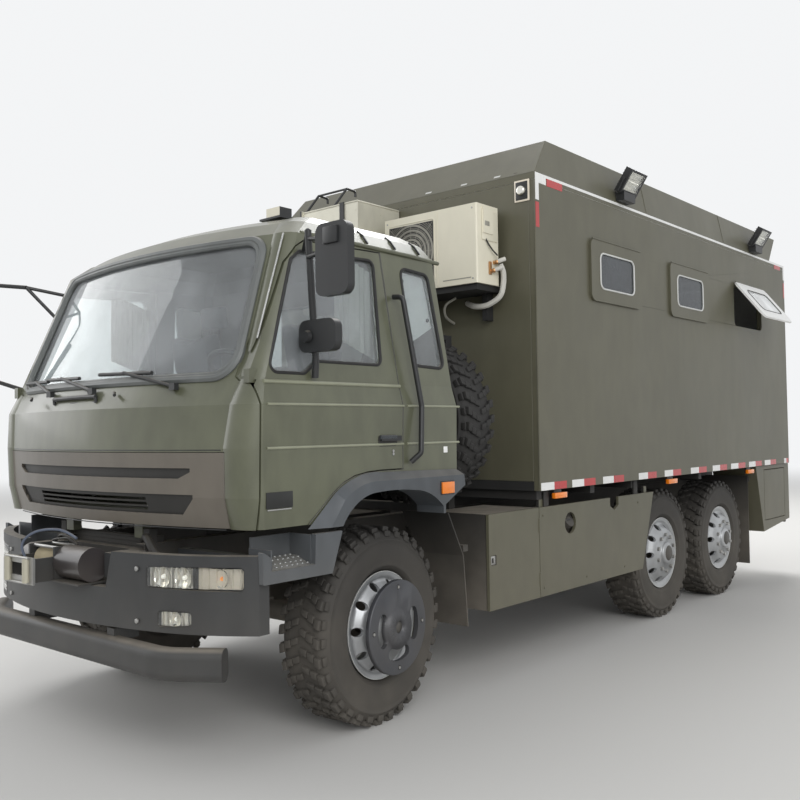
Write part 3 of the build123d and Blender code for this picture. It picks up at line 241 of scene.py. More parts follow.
class Graph(Tree):
    """One material's node tree, ending in a Principled shader."""

    def __init__(self, name: str) -> None:
        """Start an empty material with its shader and output."""
        self.material = bpy.data.materials.new(name)
        super().__init__(self.material)
        self.shader = self.add("ShaderNodeBsdfPrincipled")
        self.output = self.add("ShaderNodeOutputMaterial", None, {0: self.shader.outputs[0]})
        self.coords = self.add("ShaderNodeTexCoord").outputs["Object"]

    def set(self, **inputs: object) -> None:
        """Set or link the shader's inputs, with underscores for the blanks in their names."""
        for key, value in inputs.items():
            self.feed(self.shader.inputs[key.replace("_", " ")], value)

    def noise(self, scale: float, detail: float = 2.0, stretch: Point = (1, 1, 1)) -> Value:
        """Noise on stretched Object coordinates, about 0.5 on average.

        Args:
            scale: how fine it is.
            detail: how many finer layers it has.
            stretch: scale of each axis.

        Returns:
            The noise.
        """
        place = self.add("ShaderNodeMapping", None, {"Vector": self.coords, "Scale": stretch})
        inputs = {"Vector": place.outputs[0], "Scale": scale, "Detail": detail}
        return Value(self, self.add("ShaderNodeTexNoise", None, inputs).outputs[0])

    def along(self) -> tuple[Value, Value, Value]:
        """X, Y and Z of the Object coordinates."""
        node = self.add("ShaderNodeSeparateXYZ", None, {0: self.coords})
        return tuple(Value(self, node.outputs[n]) for n in range(3))

    def upward(self) -> Value:
        """How far a surface faces up, from -1 to 1."""
        normal = self.add("ShaderNodeNewGeometry").outputs["Normal"]
        return Value(self, self.add("ShaderNodeSeparateXYZ", None, {0: normal}).outputs[2])

    def blend(self, factor: object, first: object, second: object) -> bpy.types.NodeSocket:
        """Colour mixed from two by a factor."""
        return self.add("ShaderNodeMix", {"data_type": "RGBA"}, {0: factor, 6: first, 7: second}).outputs[2]

    def cover(self, factor: Value, over: bpy.types.Node) -> None:
        """Mix another shader over the Principled one by a factor, and let the output show the mix."""
        inputs = {0: factor, 1: self.shader.outputs[0], 2: over.outputs[0]}
        self.feed(self.output.inputs[0], self.add("ShaderNodeMixShader", None, inputs).outputs[0])

    def bump(self, height: Value, strength: float, distance: float) -> None:
        """Let a height drive the shader's normal."""
        inputs = {"Height": height, "Strength": strength, "Distance": distance}
        self.set(Normal=self.add("ShaderNodeBump", None, inputs).outputs[0])


@dataclass(frozen=True)
class Finish:
    """A surface finish with uneven colour, road dust, and fine grain.

    Attributes:
        name: the material's name.
        colour: main colour.
        roughness: base roughness.
        metallic: how metallic it is.
        dust: colour of the dust that lies on it.
        dusty: how much dust lies on faces that look up.
        splash: how much dust shows at the splash height and below.
        splash_top: height at which the splashed dust has faded out.
        uneven: how far the colour drifts from place to place.
        grain: height of the fine bump.
        grain_scale: scale of the fine bump.
        coat: weight of the clear coat.
        specular: reflection level of the surface below the coat.
        slot: the record's material slot that it stands for.
    """

    name: str
    colour: Colour
    roughness: float = 0.45
    metallic: float = 0.0
    dust: Colour = DUST
    dusty: float = 0.25
    splash: float = 0.0
    splash_top: float = 1.25
    uneven: float = 0.16
    grain: float = 0.0003
    grain_scale: float = 260.0
    coat: float = 0.0
    specular: float = 0.5
    slot: str | None = None

    def shade(self, graph: Graph) -> tuple[object, Value]:
        """Colour and dust mask of the finish, before it meets the shader.

        Args:
            graph: the material's graph.

        Returns:
            The colour and the mask.
        """
        height = graph.along()[2]
        broad = graph.noise(1.3, 4.0)
        cloud = graph.noise(9.0, 3.0, (1, 1, 0.45))
        dark = tuple(v * (1 - self.uneven) for v in self.colour)
        light = tuple(min(1.0, v * (1 + self.uneven)) for v in self.colour)
        base = graph.blend((0.5 * broad + 0.5 * cloud).rise(0.32, 0.68), dark, light)
        settled = graph.upward().rise(0.55, 0.95) * (0.4 + cloud) * self.dusty
        thrown = height.rise(self.splash_top, 0.35) * (0.25 + 1.1 * graph.noise(5.0, 5.0)) * self.splash
        mask = (settled + thrown).clamped()
        return graph.blend(mask, base, self.dust), mask

    def make(self) -> bpy.types.Material:
        """Build the material."""
        graph = Graph(self.name)
        colour, mask = self.shade(graph)
        smears = graph.noise(3.0, 5.0, (1, 1, 0.4))
        rough = (self.roughness - 0.07 + 0.14 * smears + 0.35 * mask).clamped()
        graph.set(Base_Color=colour, Roughness=rough, Metallic=self.metallic)
        graph.set(Coat_Weight=self.coat, Coat_Roughness=0.12, Specular_IOR_Level=self.specular)
        graph.bump(graph.noise(self.grain_scale, 2.0) + 0.6 * mask, 0.5, self.grain)
        return graph.material


@dataclass(frozen=True)
class Glass:
    """Clear or tinted sheet glass with a thin diffuse film: dust on most panes, painted shade that darkens
    the box's window and door panes, and a pale film that whitens the open sash's pane.

    Attributes:
        name: the material's name.
        tint: colour seen through it.
        film: how much the film hides.
        film_colour: colour of that film.
        roughness: how blurred it is.
        slot: the record's material slot that it stands for.
    """

    name: str
    tint: Colour = (0.86, 0.92, 0.90)
    film: float = 0.12
    film_colour: Colour = (0.55, 0.57, 0.56)
    roughness: float = 0.02
    slot: str | None = None

    def make(self) -> bpy.types.Material:
        """Build the material."""
        graph = Graph(self.name)
        graph.set(Base_Color=self.tint, Roughness=self.roughness, Transmission_Weight=1.0, IOR=1.45)
        cloud = graph.noise(2.2, 5.0).rise(0.25, 0.8)
        film = graph.add("ShaderNodeBsdfDiffuse", None, {0: self.film_colour, 1: 0.6})
        graph.cover((self.film * (0.45 + cloud)).clamped(), film)
        return graph.material


@dataclass(frozen=True)
class Glow:
    """A pale surface with a painted glow from emission, such as the inside of a lamp."""

    name: str
    colour: Colour
    strength: float
    slot: str | None = None

    def make(self) -> bpy.types.Material:
        """Build the material."""
        graph = Graph(self.name)
        graph.set(Base_Color=self.colour, Roughness=0.3)
        graph.set(Emission_Color=self.colour, Emission_Strength=self.strength)
        return graph.material


class Finishes:
    """Every finish of the truck, each made once and kept by its name."""

    TABLE = (
        Finish("cab_olive", srgb(86, 88, 70), 0.36, coat=0.3, dusty=0.16, splash=0.10, slot="cab_paint"),
        Finish("box_olive", srgb(87, 85, 69), 0.46, coat=0.10, dusty=0.16, splash=0.10, uneven=0.08,
               slot="box_paint"),
        # painted highlight: lighter olive for the raised creases, standing in for the light they catch
        Finish("olive_crease", srgb(134, 136, 116), 0.34, coat=0.3, dusty=0.1, uneven=0.1),
        Finish("grille_brown", srgb(100, 94, 85), 0.42, splash=0.3, coat=0.1, uneven=0.1,
               slot="grille_paint"),
        # painted shade: dark colour for recesses, grooves and the space behind the bumper
        Finish("dark_recess", srgb(40, 39, 37), 0.6, splash=0.3),
        Finish("bumper_charcoal", srgb(45, 47, 49), 0.46, grain=0.0005, dusty=0.4, splash=0.10,
               slot="bumper_paint"),
        Finish("flare_charcoal", srgb(72, 76, 80), 0.42, grain=0.0006, dusty=0.3, splash=0.25,
               slot="flare_plastic"),
        Finish("chassis_black", srgb(30, 30, 30), 0.65, dusty=0.4, splash=0.4, slot="chassis_paint"),
        Finish("seal_rubber", srgb(96, 99, 98), 0.45, grain=0.0004),
        Finish("black_rubber", srgb(30, 30, 30), 0.6, splash=0.3, dusty=0.15, slot="flap_rubber"),
        Finish("winch_grey", srgb(58, 60, 62), 0.42, metallic=0.5, splash=0.3, slot="winch_steel"),
        Finish("winch_motor", srgb(36, 33, 38), 0.34, splash=0.3, coat=0.2),
        Finish("roller_cream", srgb(188, 184, 166), 0.4, metallic=0.3, splash=0.3),
        Finish("rope_wound", srgb(172, 160, 132), 0.85, splash=0.3, grain=0.0015, grain_scale=420.0),
        Finish("bare_steel", srgb(170, 170, 168), 0.35, metallic=0.8, splash=0.15),
        Finish("copper", srgb(196, 150, 104), 0.35, metallic=0.8),
        Finish("reflector", srgb(226, 224, 216), 0.10, metallic=1.0, dusty=0.05, uneven=0.05),
        Finish("mirror_glass", srgb(205, 212, 216), 0.04, metallic=1.0, dusty=0.0, uneven=0.02),
        Finish("lamp_silver", srgb(236, 232, 222), 0.22, metallic=0.55, dusty=0.0, uneven=0.08),
        Finish("curtain_grey", srgb(176, 176, 170), 0.9, dusty=0.0, uneven=0.06),
        Finish("lamp_cream", srgb(224, 214, 196), 0.3, dusty=0.1, coat=0.4, uneven=0.06),
        Finish("tread_alloy", srgb(150, 152, 152), 0.45, metallic=0.7, splash=0.3),
        Finish("rope_blue", srgb(92, 100, 116), 0.8, grain=0.0012, grain_scale=400.0, slot="rope_fibre"),
        Finish("aircon_cream", srgb(222, 217, 198), 0.42, uneven=0.04, dusty=0.2, slot="aircon_case"),
        Finish("ring_grey", srgb(150, 148, 138), 0.5),
        Finish("fan_dark", srgb(36, 36, 35), 0.6),
        Finish("foam_white", srgb(196, 194, 186), 0.75, grain=0.001),
        Finish("vent_cream", srgb(206, 203, 188), 0.34, metallic=0.35, uneven=0.1, slot="vent_steel"),
        Finish("lamp_black", srgb(34, 35, 36), 0.42, splash=0.1, slot="floodlight_case"),
        Finish("trim_white", srgb(206, 207, 204), 0.4, uneven=0.05),
        Finish("sash_white", srgb(232, 232, 230), 0.4, uneven=0.03, dusty=0.1),
        Finish("inner_white", srgb(214, 214, 210), 0.45, uneven=0.04),
        Finish("floor_grey", srgb(120, 120, 118), 0.6),
        Finish("tape_white", srgb(226, 226, 224), 0.28, splash=0.1, uneven=0.05, coat=0.4),
        Finish("tape_red", srgb(178, 36, 38), 0.28, splash=0.1, uneven=0.08, coat=0.4),
        Finish("amber_lens", srgb(238, 128, 22), 0.2, splash=0.1, uneven=0.1, coat=0.6),
        Finish("red_lens", srgb(160, 24, 22), 0.2, splash=0.1, uneven=0.1, coat=0.6),
        Finish("plate_dark", srgb(28, 29, 28), 0.4, uneven=0.05),
        Finish("cab_lining", srgb(122, 122, 118), 0.8, grain=0.0008),
        Finish("seat_cloth", srgb(96, 98, 106), 0.92, grain=0.0012, grain_scale=600.0, slot="seat_cloth"),
        Finish("dash_grey", srgb(70, 70, 70), 0.7, grain=0.0006, slot="dash_plastic"),
        Finish("kitchen_steel", srgb(178, 180, 180), 0.3, metallic=0.9, slot="kitchen_steel"),
        Finish("rim_silver", srgb(172, 175, 178), 0.36, metallic=0.5, dusty=0.0, splash=0.16),
        Finish("guard_slate", srgb(54, 58, 66), 0.42, metallic=0.2, dusty=0.0, splash=0.12),
        Finish("hub_dark", srgb(48, 50, 52), 0.45, metallic=0.3, splash=0.2),
        Finish("tyre_rubber", srgb(38, 37, 36), 0.74, dusty=0.0, splash=0.17, grain=0.0008,
               slot="tyre_rubber"),
        Glass("cab_glass", (0.80, 0.86, 0.86), 0.22, (0.60, 0.62, 0.64), slot="cab_window"),
        # painted shade: a dark tint and a dark film darken the window and door panes
        Glass("pane_glass", (0.45, 0.48, 0.52), 0.55, (0.15, 0.16, 0.17)),
        Glass("pane_bright", (0.9, 0.92, 0.92), 0.75, (0.86, 0.87, 0.87)),
        Glass("lamp_glass", (0.96, 0.97, 0.96), 0.03, slot="lamp_glass"),
        # painted glow: the bulbs inside the lamps shine by emission
        Glow("bulb_white", (0.95, 0.93, 0.86), 0.5),
        Glow("bulb_orange", (0.90, 0.32, 0.05), 0.45),
    )

    def __init__(self) -> None:
        """Start with no material made."""
        self.made: dict[str, bpy.types.Material] = {}
        self.known = {finish.name: finish for finish in self.TABLE}

    def __getitem__(self, name: str) -> bpy.types.Material:
        """The material of a named finish, made at its first use."""
        if name not in self.made:
            self.made[name] = self.known[name].make()
        return self.made[name]


def spot(x: float, station: float, height: float) -> Vector:
    """Point of an X, a station and a height above the datum, in the row frame."""
    return Vector((x, at(station), height - GROUND))


def level(x: float, station: float, height: float) -> Matrix:
    """Placement at a point, not turned."""
    return Matrix.Translation(spot(x, station, height))


def side_view(x: float) -> Matrix:
    """Placement whose X and Y are station and height, and whose Z is the row frame's +X."""
    axes = Matrix(((0, 0, 1), (1, 0, 0), (0, 1, 0))).to_4x4()
    return level(x, 0, 0) @ axes


def front_view(station: float) -> Matrix:
    """Placement whose X and Y are X and height, and whose Z looks ahead of the truck."""
    axes = Matrix(((1, 0, 0), (0, 0, -1), (0, 1, 0))).to_4x4()
    return level(0, station, 0) @ axes


def top_view(height: float) -> Matrix:
    """Placement whose X and Y are X and station, and whose Z is up."""
    return level(0, 0, height)


def aimed(place: Place, direction: Place) -> Matrix:
    """Placement at a point whose Z takes a direction."""
    turn = Vector(direction).to_track_quat("Z", "Y").to_matrix().to_4x4()
    return Matrix.Translation(Vector(place)) @ turn


def rounded(corners: Outline, radius: float, steps: int = 5) -> Flat:
    """Closed outline with each corner replaced by an arc.

    Args:
        corners: the outline's corners, in order.
        radius: radius of the arcs.
        steps: straight pieces to an arc.

    Returns:
        The points of the rounded outline.
    """
    points = []
    for number, corner in enumerate(corners):
        here = Vector(corner)
        before = (Vector(corners[number - 1]) - here).normalized()
        after = (Vector(corners[(number + 1) % len(corners)]) - here).normalized()
        half = before.angle(after) / 2
        centre = here + (before + after).normalized() * radius / math.sin(half)
        start = here + before * radius / math.tan(half) - centre
        end = here + after * radius / math.tan(half) - centre
        for step in range(steps + 1):
            points.append(tuple(centre + start.slerp(end, step / steps) * radius))
    return points


def grown(corners: Outline, by: float) -> Flat:
    """Push an outline's corners away from its middle along each axis."""
    middle = [sum(c[n] for c in corners) / len(corners) for n in (0, 1)]
    return [tuple(v + math.copysign(by, v - m) for v, m in zip(corner, middle)) for corner in corners]


def divided(outline: Outline, longest: float = 0.08) -> Flat:
    """Closed outline with points added along its longer sides.

    Args:
        outline: corners in order.
        longest: longest side that is left whole.

    Returns:
        The corners with the added points.
    """
    points = []
    for number, end in enumerate(outline):
        start, stop = Vector(outline[number - 1]), Vector(end)
        count = max(1, math.ceil((stop - start).length / longest))
        points += [tuple(start.lerp(stop, (n + 1) / count)) for n in range(count)]
    return points


def smooth_line(points: Outline, steps: int = 5) -> list[Vector]:
    """A smooth line through points, with a few straight pieces between each two.

    Args:
        points: places that the line runs through.
        steps: pieces between each two.

    Returns:
        Points of the line.
    """
    spots = [Vector(point) for point in points]
    spots = [spots[0] * 2 - spots[1], *spots, spots[-1] * 2 - spots[-2]]
    line = []
    for a, b, c, d in zip(spots, spots[1:], spots[2:], spots[3:]):
        for n in range(steps):
            t = n / steps
            line.append(0.5 * (2 * b + (c - a) * t + (2 * a - 5 * b + 4 * c - d) * t ** 2
                               + (3 * b - a - 3 * c + d) * t ** 3))
    return [*line, spots[-2]]


def panel(x0: float, x1: float, y0: float, y1: float, radius: float, steps: int = 5) -> Flat:
    """Rectangle between two corners, with rounded corners."""
    return rounded(((x0, y0), (x0, y1), (x1, y1), (x1, y0)), radius, steps)


def linked(name: str, data: bpy.types.ID) -> bpy.types.Object:
    """New object of a mesh, curve, lamp or camera, linked to the scene."""
    made = bpy.data.objects.new(name, data)
    bpy.context.scene.collection.objects.link(made)
    return made


def round_curve(name: str, kind: str, points: Sequence[Vector], radius: float,
                resolution: int) -> bpy.types.Curve:
    """Curve of one spline through or along points, with a round section and closed ends.

    Args:
        name: the curve's name.
        kind: type of its spline.
        points: its points.
        radius: the section's radius.
        resolution: steps of the section.

    Returns:
        The curve.
    """
    curve = bpy.data.curves.new(name, "CURVE")
    curve.dimensions, curve.use_fill_caps = "3D", True
    curve.bevel_depth, curve.bevel_resolution = radius, resolution
    line = curve.splines.new(kind)
    line.points.add(len(points) - 1)
    for vert, point in zip(line.points, points):
        vert.co = (*point, 1.0)
    return curve


def cord_curve(name: str, points: Sequence[Vector], radius: float) -> bpy.types.Object:
    """A round cord along a smooth curve that its corner points pull on.

    Args:
        name: the cord's name.
        points: its corner points.
        radius: its radius.

    Returns:
        The cord's object.
    """
    curve = round_curve(name, "NURBS", points, radius, 3)
    line = curve.splines[0]
    line.order_u, line.resolution_u, line.use_endpoint_u = 3, 8, True
    return linked(name, curve)


class Shape:
    """One piece as it is built: a bmesh, and the finish of each of its faces."""

    def __init__(self, kit: "Kit", finish: str) -> None:
        """Start an empty piece with its first finish."""
        self.kit = kit
        self.mesh = bmesh.new()
        self.mesh.verts.layers.int.new("known")
        self.mesh.faces.layers.int.new("painted")
        self.finishes = [finish]
        self.index = 0

    def paint(self, finish: str) -> Self:
        """Use a finish for the faces made from now on."""
        if finish not in self.finishes:
            self.finishes.append(finish)
        self.index = self.finishes.index(finish)
        return self

    def fresh(self) -> list[bmesh.types.BMVert]:
        """Vertices made since the last settle()."""
        known = self.mesh.verts.layers.int["known"]
        return [v for v in self.mesh.verts if not v[known]]

    def settle(self, place: Matrix) -> Self:
        """Put the new vertices in place and give the new faces the finish in use."""
        known = self.mesh.verts.layers.int["known"]
        painted = self.mesh.faces.layers.int["painted"]
        made = self.fresh()
        bmesh.ops.transform(self.mesh, matrix=place, verts=made)
        for vert in made:
            vert[known] = 1
        for face in self.mesh.faces:
            if not face[painted]:
                face[painted] = 1
                face.material_index = self.index
        return self

    def soften(self, verts: Iterable[bmesh.types.BMVert], size: float) -> None:
        """Round the edges between vertices where the faces turn by more than 45 degrees.

        Args:
            verts: both ends of each edge are among them.
            size: width of the rounding.
        """
        edges = {e for v in verts for e in v.link_edges}
        bmesh.ops.recalc_face_normals(self.mesh, faces=list({f for e in edges for f in e.link_faces}))
        sharp = [e for e in edges if e.calc_face_angle(0.0) > math.radians(45)]
        bmesh.ops.bevel(self.mesh, geom=sharp, offset=size, segments=2, profile=0.5, affect="EDGES",
                        material=-1)

    def raw_block(self, low: Place, high: Place, bevel: float = 0.0,
                  turn: Matrix = HERE) -> None:
        """Add a block between two corners, to be settled later.

        Args:
            low: lowest corner.
            high: highest corner.
            bevel: width of its rounding.
            turn: placement of the corners.
        """
        first, last = Vector(low), Vector(high)
        matrix = Matrix.Translation((first + last) / 2) @ Matrix.Diagonal((*(last - first), 1.0))
        made = bmesh.ops.create_cube(self.mesh, size=1.0, matrix=turn @ matrix)
        if bevel:
            self.soften(made["verts"], bevel)

    def block(self, low: Place, high: Place, bevel: float = 0.0,
              place: Matrix = HERE) -> Self:
        """A block between two corners, with rounded edges if bevel is given."""
        self.raw_block(low, high, bevel)
        return self.settle(place)

    def rod(self, place: Matrix, radius: float, length: float, sides: int = 16, tip: float | None = None,
            bevel: float = 0.0) -> Self:
        """A round bar along the placement's Z, from its origin.

        Args:
            place: where it starts, and its direction.
            radius: its radius at the start.
            length: how far it goes.
            sides: flat sides round it.
            tip: its radius at the end, where that differs.
            bevel: rounding of its end edges.

        Returns:
            The shape.
        """
        end = radius if tip is None else tip
        made = bmesh.ops.create_cone(self.mesh, cap_ends=True, segments=sides, radius1=radius, radius2=end,
                                     depth=length, matrix=Matrix.Translation((0, 0, length / 2)))
        if bevel:
            self.soften(made["verts"], bevel)
        return self.settle(place)

    def peg(self, place: Place, direction: Place, *sizes: float,
            bevel: float = 0.0) -> Self:
        """A round bar from a place of X, station and height; its sizes are as rod() takes them."""
        return self.rod(aimed(spot(*place), direction), *sizes, bevel=bevel)

    def bar(self, start: Vector, end: Vector, radius: float, sides: int = 10) -> Self:
        """A straight round bar between two points."""
        return self.rod(aimed(start, end - start), radius, (end - start).length, sides)

    def lathe(self, profile: Sequence[tuple[float, float]], place: Matrix, steps: int = 32,
              closed: bool = True) -> Self:
        """Turn a profile of (radius, height) about the placement's Z.

        Args:
            profile: radius and height of each corner.
            place: its placement.
            steps: steps round the axis.
            closed: whether the profile's ends join.

        Returns:
            The shape.
        """
        verts = [self.mesh.verts.new((radius, 0, height)) for radius, height in profile]
        pairs = list(zip(verts, verts[1:]))
        if closed:
            pairs.append((verts[-1], verts[0]))
        edges = [self.mesh.edges.new(pair) for pair in pairs]
        bmesh.ops.spin(self.mesh, geom=verts + edges, cent=(0, 0, 0), axis=(0, 0, 1), angle=math.tau,
                       steps=steps, use_merge=True)
        bmesh.ops.remove_doubles(self.mesh, verts=self.fresh(), dist=TINY)
        return self.settle(place)

    def prism(self, outline: Outline, depth: float, place: Matrix,
              bevel: float = 0.0) -> Self:
        """An outline of (x, y), extruded along the placement's Z.

        Args:
            outline: x and y of each corner.
            depth: how far it runs along Z.
            place: its placement.
            bevel: width of its rounding.

        Returns:
            The shape.
        """
        foot = [self.mesh.verts.new((x, y, 0)) for x, y in outline]
        made = bmesh.ops.extrude_face_region(self.mesh, geom=[self.mesh.faces.new(foot)])
        top = [v for v in made["geom"] if isinstance(v, bmesh.types.BMVert)]
        bmesh.ops.translate(self.mesh, vec=(0, 0, depth), verts=top)
        if bevel:
            self.soften([*foot, *top], bevel)
        return self.settle(place)

    def around(self, place: Matrix, count: int) -> Self:
        """Copy the new vertices' faces into count places round Z, then settle them.

        Args:
            place: placement whose Z it turns about.
            count: how many places.

        Returns:
            The shape.
        """
        made = self.fresh()
        faces = {f for v in made for f in v.link_faces}
        edges = {e for v in made for e in v.link_edges}
        turn = math.tau * (count - 1) / count
        bmesh.ops.spin(self.mesh, geom=[*made, *edges, *faces], cent=(0, 0, 0), axis=(0, 0, 1),
                       angle=turn, steps=count - 1, use_duplicate=True)
        return self.settle(place)

    def pipe(self, points: Sequence[Vector], radius: float, sides: int = 8, closed: bool = False) -> Self:
        """A round tube along points, with capped ends unless it is closed.

        Args:
            points: points in the row frame.
            radius: the tube's radius.
            sides: sides of its section.
            closed: whether its ends join.

        Returns:
            The shape.
        """
        curve = round_curve("pipe", "POLY", points, radius, (sides - 4) // 2)
        curve.splines[0].use_cyclic_u = closed
        holder = bpy.data.objects.new("pipe", curve)
        made = bpy.data.meshes.new_from_object(holder)
        self.mesh.from_mesh(made)
        bmesh.ops.remove_doubles(self.mesh, verts=self.fresh(), dist=TINY)
        bpy.data.objects.remove(holder)
        bpy.data.curves.remove(curve)
        bpy.data.meshes.remove(made)
        return self.settle(HERE)

    def run(self, places: Outline, radius: float, sides: int = 8, closed: bool = False) -> Self:
        """A round tube along places of an X, a station and a height."""
        return self.pipe([spot(*place) for place in places], radius, sides, closed)

    def island(self, source: bmesh.types.BMesh, faces: list[bmesh.types.BMFace]) -> Self:
        """Copy faces of a CAD node's merged mesh, which are in place already.

        Args:
            source: the merged mesh.
            faces: its faces to copy.

        Returns:
            The shape.
        """
        source.faces.index_update()
        kept = {f.index for f in faces}
        part = source.copy()
        bmesh.ops.delete(part, geom=[f for f in part.faces if f.index not in kept], context="FACES")
        mesh = bpy.data.meshes.new("island")
        part.to_mesh(mesh)
        part.free()
        self.mesh.from_mesh(mesh)
        bpy.data.meshes.remove(mesh)
        return self.settle(HERE)

    def done(self, name: str, body: str, stands_for: Sequence[str] = (),
             sharp: float = 35.0) -> bpy.types.Object:
        """Turn the shape into the scene's object.

        Args:
            name: the piece's name.
            body: the CAD body that it rides on.
            stands_for: CAD nodes that it takes the place of.
            sharp: angle above which an edge stays sharp.

        Returns:
            The new object.
        """
        bmesh.ops.recalc_face_normals(self.mesh, faces=self.mesh.faces)
        mesh = bpy.data.meshes.new(name)
        self.mesh.to_mesh(mesh)
        self.mesh.free()
        for finish in self.finishes:
            mesh.materials.append(self.kit.finishes[finish])
        return self.kit.adopt(mesh, body, self.finishes[0], stands_for, sharp)


@dataclass(frozen=True)
class Facet:
    """One face of a CAD node.

    Attributes:
        middle: its middle as X, station and height above the datum.
        normal: the way it faces.
        low: lowest corner of the solid that it belongs to, measured as middle is.
        high: highest corner of that solid.
    """

    middle: Vector
    normal: Vector
    low: Vector
    high: Vector

    def within(self, low: Place, high: Place) -> bool:
        """Whether its middle lies in a block."""
        return all(a <= v <= b for a, v, b in zip(low, self.middle, high))

    def off_axis(self, place: Place, axis: Axis) -> float:
        """Distance of its middle from an axis through a place.

        Args:
            place: X, station and height.
            axis: direction of the axis.

        Returns:
            The distance.
        """
        gap = self.middle - Vector(place)
        gap["XYZ".index(axis.value)] = 0.0
        return gap.length


def merged(mesh: bpy.types.Mesh) -> tuple[bmesh.types.BMesh, list[list[bmesh.types.BMFace]]]:
    """Merge a CAD mesh's double vertices, and split its faces by solid.

    Args:
        mesh: the CAD node's mesh, which stays as it is.

    Returns:
        The merged copy, whose faces hold their first numbers in the layer "source", and its solids.
    """
    copy = bmesh.new()
    copy.from_mesh(mesh)
    source = copy.faces.layers.int.new("source")
    for number, face in enumerate(copy.faces):
        face[source] = number
    bmesh.ops.remove_doubles(copy, verts=copy.verts, dist=WELD)
    solids, seen = [], set()
    for face in copy.faces:
        if face in seen:
            continue
        seen.add(face)
        solid, waiting = [], [face]
        while waiting:
            here = waiting.pop()
            solid.append(here)
            beside = {f for e in here.edges for f in e.link_faces} - seen
            seen |= beside
            waiting += beside
        solids.append(solid)
    return copy, solids


class Kit:
    """What every sub-assembly draws on: the CAD nodes, their bodies and the finishes."""

    def __init__(self, frame: dict, finishes: "Finishes") -> None:
        """Keep the frame's nodes and the body of each."""
        self.nodes = frame["nodes"]
        self.finishes = finishes
        bodies = frame["record"]["behaviour"]["bodies"]
        self.body_of = {node: body for body, nodes in bodies.items() for node in nodes}

    def adopt(self, mesh: bpy.types.Mesh, body: str, finish: str, stands_for: Sequence[str] = (),
              sharp: float = 35.0) -> bpy.types.Object:
        """Link a finished mesh as a piece that rides on a body.

        Args:
            mesh: the mesh.
            body: name of the body.
            finish: its first finish.
            stands_for: nodes that it replaces.
            sharp: angle above which edges stay sharp.

        Returns:
            The piece.
        """
        mesh.shade_smooth()
        mesh.set_sharp_from_angle(angle=math.radians(sharp))
        piece = linked(mesh.name, mesh)
        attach(piece, body)
        if stands_for:
            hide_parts(*stands_for)
        self.fill_slot(piece, finish)
        return piece

    def fill_slot(self, piece: bpy.types.Object, finish: str) -> None:
        """Look up the record's material slot that a piece's first finish stands for; nothing is done with it.

        Args:
            piece: the piece; not used.
            finish: name of that finish.
        """
        slot = self.finishes.known[finish].slot

    def dress(self, node: str, finish: str, bevel: float = 0.0) -> None:
        """Give a CAD node one finish, and rounded edges if bevel is given.

        Args:
            node: the node's name.
            finish: the finish's name.
            bevel: width of the rounding.
        """
        piece = self.nodes[node]
        piece.data.materials.clear()
        piece.data.materials.append(self.finishes[finish])
        self.fill_slot(piece, finish)
        if bevel:
            self.round_edges(piece, bevel)

    def round_edges(self, piece: bpy.types.Object, size: float) -> None:
        """Round a CAD node's edges by modifiers, which leave its own vertices as they are.

        Args:
            piece: the node's object.
            size: width of the rounding.
        """
        piece.data.shade_smooth()
        piece.modifiers.new("weld", "WELD").merge_threshold = WELD
        edge = piece.modifiers.new("edges", "BEVEL")
        edge.width, edge.segments, edge.limit_method = size, 2, "ANGLE"
        edge.angle_limit, edge.harden_normals = math.radians(35), False
        piece.modifiers.new("normals", "WEIGHTED_NORMAL").keep_sharp = True

    def dress_by(self, node: str, choose: Callable[[Facet], str]) -> None:
        """Give each face of a CAD node the finish that choose() names for it.

        Args:
            node: the node's name.
            choose: gives the name of a facet's finish.
        """
        mesh = self.nodes[node].data
        mesh.materials.clear()
        names: list[str] = []
        copy, solids = merged(mesh)
        source = copy.faces.layers.int["source"]
        shift = Vector((0, -FRONT_AXLE_Y, GROUND))
        for solid in solids:
            corners = [v.co + shift for f in solid for v in f.verts]
            low = Vector([min(c[n] for c in corners) for n in range(3)])
            high = Vector([max(c[n] for c in corners) for n in range(3)])
            for face in solid:
                name = choose(Facet(face.calc_center_median() + shift, face.normal, low, high))
                if name not in names:
                    names.append(name)
                    mesh.materials.append(self.finishes[name])
                mesh.polygons[face[source]].material_index = names.index(name)
        copy.free()
        self.fill_slot(self.nodes[node], names[0])


def skin_x(height: float) -> float:
    """How far out the cab's side lies at a height above the datum."""
    for (low, near), (high, far) in zip(CAB_SIDE, CAB_SIDE[1:]):
        if height <= high:
            return near + (far - near) * (height - low) / (high - low)
    return CAB_SIDE[-1][1]


def front_station(x: float, height: float) -> float:
    """Station of the cab's bowed front at an X and a height above the datum.

    Args:
        x: place across the cab.
        height: height above the datum.

    Returns:
        The station.
    """
    for low, high in zip(CAB_FRONT, CAB_FRONT[1:]):
        if height <= high.height:
            break
    up = (height - low.height) / (high.height - low.height)
    centre = low.centre + (high.centre - low.centre) * up
    corner = low.corner + (high.corner - low.corner) * up
    reach = low.corner_x + (high.corner_x - low.corner_x) * up
    return centre + (corner - centre) * (x / reach) ** 2


def bow_station(x: float) -> float:
    """Station of the bumper's bowed face at an X: a flat middle bow, then a steeper one to its end."""
    far = abs(x)
    if far < BOW_X:
        return BOW_FRONT + 0.076 * (far / BOW_X) ** 2
    along = (far - BOW_X) / 0.281
    return BOW_FRONT + 0.076 + 0.0875 * along * (2 - along) + (along * (along - 1) / 2) * 0.259


